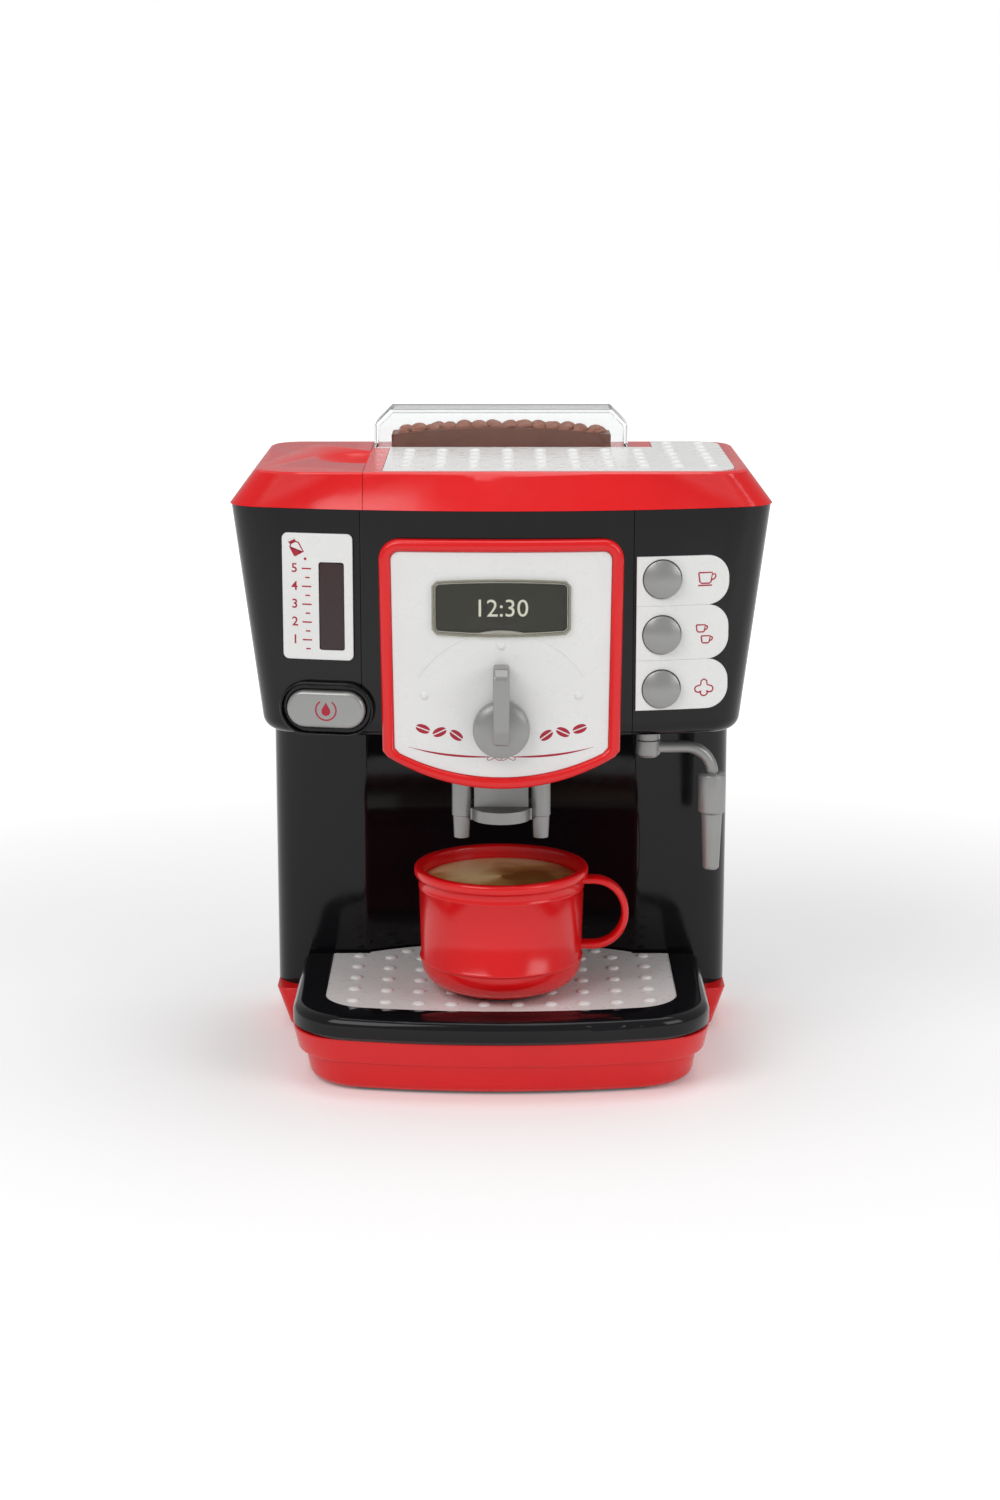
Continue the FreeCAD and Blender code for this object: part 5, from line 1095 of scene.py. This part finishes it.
ornament = [swash(-1), swash(1)]
for side in (-1, 1):
    for x, z, turn in ((17.5 * MM, 146 * MM, 35), (24 * MM, 147.2 * MM, -25),
                       (30.5 * MM, 148.4 * MM, 20)):
        ornament += [moved(half_bean(half), side * x, z, side * turn) for half in (-1, 1)]
knot_level, knot_line, knot_steps = swash_level - 1.9 * MM, 0.22 * MM, 20
oval = [(1.6 * math.cos(math.tau * i / knot_steps), 0.7 * math.sin(math.tau * i / knot_steps))
        for i in range(knot_steps)]
for x, turn in ((-4 * MM, 24), (-1.4 * MM, -30), (1.4 * MM, 30), (4 * MM, -24)):
    ornament.append(stroke(moved(oval + oval[:1], x, knot_level, turn), knot_line))
printed("panel_ornament", ornament, panel_high, "machine", "face_panel")


# Brew head with its two spouts, and the swinging steam pipe.
# Silver plastic with soft edges. The block is fixed under the head, and the pipe hangs from its
# socket, with a sleeve to hold it by and a thin nozzle.
block_edge_width = 0.5 * MM
for name, node, body, width in (("brew_block", "brew_head", "machine", block_edge_width),
                                ("spouts", "brew_spouts", "machine", plain_edge),
                                ("pipe_socket", "steam_socket", "machine", plain_edge),
                                ("pipe", "steam_arm", "steam_pipe", plain_edge),
                                ("pipe_sleeve", "steam_sleeve", "steam_pipe", fine_edge),
                                ("pipe_nozzle", "steam_nozzle", "steam_pipe", fine_edge)):
    dressed(name, node, body, SILVER, width)


# Drip tray with its white grille.
# Black gloss tray with a broad rounded rim; the white plate lies in it and carries round studs.
dressed("tray", "drip_tray", "tray", BLACK, plain_edge)
grille_low, grille_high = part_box("drip_grille")
grille_top = grille_high.z - stud_height
grille_half, grille_front, grille_back = 71.3 * MM, -55.8 * MM, 26.8 * MM
front_bow, grille_corner, heel_corner = 299.8 * MM, 20 * MM, 1.1 * MM
bay_gap, grille_pitch = 1.65 * MM, 15.5 * MM


def bow_drop(x):
    """How far the bowed front of the plate falls back at a distance x from the middle."""
    return front_bow - math.sqrt(front_bow**2 - x**2)


front_loop = bowed_loop(grille_half, grille_front, grille_back, front_bow, grille_corner,
                        heel_corner)
tongue_radius, tongue_half = bay_radius - bay_gap, inner_edge - bay_gap
tongue_turn = math.degrees(math.asin(tongue_half / tongue_radius))
tongue = [(tongue_half, grille_back)]
tongue += round_corner((0, bay_centre), tongue_radius, 90 - tongue_turn, 90 + tongue_turn, 30)
tongue.append((-tongue_half, grille_back))
turning = next(i for i, (x, y) in enumerate(front_loop) if x < 0 and y > grille_back - very_near)
grille_loop = front_loop[:turning] + tongue + front_loop[turning:]
grille_plate = loft([[(x, y, level) for x, y in grille_loop]
                     for level in (grille_low.z, grille_top)])
softened(piece("grille_plate", grille_plate, "tray", WHITE, ["drip_grille"]),
         plate_edge)
grille_spots = []
for x, y in even_grid(-grille_half + margin, grille_half - margin, grille_front + margin,
                      grille_back - margin, stud_pitch, grille_pitch):
    fallen = bow_drop(x)
    aside = abs(x) - (grille_half - grille_corner)
    ahead = grille_front + grille_corner - y
    if aside < 0 or ahead < 0 or math.hypot(aside, ahead) < grille_corner - stud_radius:
        if y + fallen < grille_back - stud_radius - stud_height:
            grille_spots.append((x, y + fallen, grille_top))
for i in range(-3, 4):
    grille_spots.append((i * stud_pitch, grille_back + stud_radius, grille_top))
repeated("grille_studs", grille_spots, dome(stud_radius, stud_height), WHITE, "tray",
         ["drip_grille"])


# Red cup with its handle.
# Turned gloss plastic with a rolled lip and fine rings, its profile given in millimetres; the
# handle is a flat band swept round.
cup_y = -22 * MM
CUP_PLACE = Matrix.Translation((0, cup_y, 0))
foot, rim, wall_radius, bowl_radius = 34.1, 85, 32.6, 10
foot_ring = [(0, foot + 1), (19, foot + 1), (19.6, foot), (20.6, foot), (21, foot + 0.4),
             (21.2, foot + 1.6)]
bowl = [(wall_radius - bowl_radius + bowl_radius * math.sin(math.radians(a)),
         foot + 1.6 + bowl_radius - bowl_radius * math.cos(math.radians(a)))
        for a in range(6, 91, 12)]
lower_bead = [(wall_radius, 46.4), (33.1, 46.8), (33.25, 47.3), (33.1, 47.8), (32.65, 48.2)]
upper_bead = [(33.4, 76.4), (33.65, 76.7), (33.65, 77.2), (33.42, 77.5)]
lip = [(33.5, 80.4), (33.9, 81), (35, 81.5), (35.3, 82), (35.3, 84.1), (34.9, 84.8), (34.3, rim),
       (32.4, rim), (31.9, 84.7), (31.6, 84)]
inside = [(31.6, 78), (30.6, 77.9), (30.2, 48), (27, 41), (20, 38), (0, 37.7)]
wall = [(radius * MM, level * MM)
        for radius, level in foot_ring + bowl + lower_bead + upper_bead + lip + inside]


def swept(path, section):
    """Closed band along a path in X and Z; the section holds (across in Y, outwards)."""
    rings = []
    for i, point in enumerate(path):
        before, after = Vector(path[max(i - 1, 0)]), Vector(path[min(i + 1, len(path) - 1)])
        along = (after - before).normalized()
        out = Vector((along.y, -along.x))
        rings.append([(point[0] - out.x * rise, across, point[1] - out.y * rise)
                      for across, rise in section])
    return loft(rings)


handle_top, handle_bottom = 78.9 * MM, 51.6 * MM
bend_x, bend_wide, bend_high = 37.6 * MM, 12.8 * MM, (handle_top - handle_bottom) / 2
handle_path = [(31.6 * MM, handle_top), (36 * MM, handle_top)]
handle_path += [(bend_x + bend_wide * math.sin(math.radians(a)),
                 handle_bottom + bend_high + bend_high * math.cos(math.radians(a)))
                for a in range(0, 181, 9)]
handle_path += [(35 * MM, handle_bottom), (31.2 * MM, handle_bottom)]
half_wide, half_thick, squareness, section_count = 4 * MM, 1.5 * MM, 0.6, 20
handle_section = [(half_wide * abs(math.cos(a))**squareness * math.copysign(1, math.cos(a)),
                   half_thick * abs(math.sin(a))**squareness * math.copysign(1, math.sin(a)))
                  for a in [math.tau * (i + 0.5) / section_count for i in range(section_count)]]
band = swept(handle_path, handle_section)
band.transform(CUP_PLACE)
piece("cup_wall", lathe(wall, 96, CUP_PLACE), "cup", RED, ["cup"], 50)
piece("cup_handle", band, "cup", RED, ["cup"], 50)


# Moulded disc of coffee in the cup.
# Gently crowned disc; its cream swirl is worked out from the angle and distance to its middle.
COFFEE, tree, shader = new_material("coffee_swirl")
where = added(tree, "ShaderNodeTexCoord")
shift = added(tree, "ShaderNodeVectorMath", "SUBTRACT", {1: (0, cup_y, 0)})
stir = added(tree, "ShaderNodeTexNoise", None, {"Scale": 55, "Detail": 4})
apart = added(tree, "ShaderNodeSeparateXYZ")
angle = added(tree, "ShaderNodeMath", "ARCTAN2")
reach = added(tree, "ShaderNodeVectorMath", "LENGTH")
wind = added(tree, "ShaderNodeMath", "MULTIPLY_ADD", {1: 190})
wobble = added(tree, "ShaderNodeMath", "MULTIPLY_ADD", {1: 4.5})
wave = added(tree, "ShaderNodeMath", "SINE")
level = added(tree, "ShaderNodeMapRange", None, {"From Min": -1})
cream = added(tree, "ShaderNodeValToRGB")
tones = cream.color_ramp.elements
tones[0].position = 0.1
tones[0].color = (0.20, 0.075, 0.018, 1)
tones[1].position = 0.92
tones[1].color = (0.74, 0.52, 0.27, 1)
tones.new(0.55).color = (0.46, 0.235, 0.075, 1)
linked(tree, (where.outputs["Object"], shift.inputs[0]),
       (shift.outputs["Vector"], apart.inputs["Vector"]),
       (shift.outputs["Vector"], reach.inputs[0]),
       (shift.outputs["Vector"], stir.inputs["Vector"]),
       (apart.outputs["Y"], angle.inputs[0]), (apart.outputs["X"], angle.inputs[1]),
       (reach.outputs["Value"], wind.inputs[0]), (angle.outputs[0], wind.inputs[2]),
       (stir.outputs["Fac"], wobble.inputs[0]), (wind.outputs[0], wobble.inputs[2]),
       (wobble.outputs[0], wave.inputs[0]), (wave.outputs[0], level.inputs["Value"]),
       (level.outputs["Result"], cream.inputs["Fac"]),
       (cream.outputs["Color"], shader.inputs["Base Color"]))
shader.inputs["Roughness"].default_value = 0.28
coffee_low, coffee_high, coffee_radius = 77.9 * MM, 79.9 * MM, 31.3 * MM
coffee_profile = [(0, coffee_low), (coffee_radius, coffee_low),
                  (coffee_radius, coffee_high - 0.5 * MM),
                  (coffee_radius - 0.4 * MM, coffee_high - 0.2 * MM),
                  (28 * MM, coffee_high - 0.05 * MM), (0, coffee_high)]
piece("coffee_top", lathe(coffee_profile, 72, CUP_PLACE), "cup", COFFEE, ["coffee_disc"],
      50)


# Rubber domes and bellows behind the push buttons.
# Matt rubber: the dome pad cut into one piece round each key button, and the pump button's
# bellows.
RUBBER = moulded("rubber", (0.02, 0.02, 0.021), (0.014, 0.014, 0.015), 0.7)
dome_reach, key_travel, pump_travel, ease = 10 * MM, 2 * MM, 3 * MM, 0.02 * MM


def squeezed(name, node, made):
    """A soft piece in matt rubber, with a mesh of its own."""
    soft = piece(name, made, "machine", RUBBER, [node], 45)
    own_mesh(soft)


for button, middle in KEY_LEVELS.items():
    pad = merged("rubber_domes")
    others = [vert for vert in pad.verts if abs(vert.co.z - middle) > dome_reach]
    bmesh.ops.delete(pad, geom=others, context="VERTS")
    squeezed(button + "_dome", "rubber_domes", pad)
squeezed("bellows", "pump_bellows", merged("pump_bellows"))


# Underside and inner pieces.
# The CAD solids themselves: satin black plastic, rubber feet, brass contacts, cells in their
# wraps, a green board, the knob's silver shaft, and the clear tank and hose.
BRASS = moulded("brass", (0.62, 0.45, 0.17), (0.52, 0.37, 0.13), 0.3, metallic=1.0)
BOARD = moulded("board", (0.02, 0.13, 0.05), (0.012, 0.09, 0.035), 0.45)
CELL = moulded("cell", (0.10, 0.16, 0.30), (0.07, 0.12, 0.24), 0.3)
paint(SATIN, "base_plate", "battery_box", "battery_door", "tank_rest", "pump_valve", "speaker",
      "rotary_switch")
paint(RUBBER, "rubber_feet")
paint(BRASS, "battery_contacts")
paint(BOARD, "circuit_board")
paint(CELL, "battery_cells")
paint(SILVER, "knob_shaft")
paint(CLEAR, "water_tank", "water_hose")
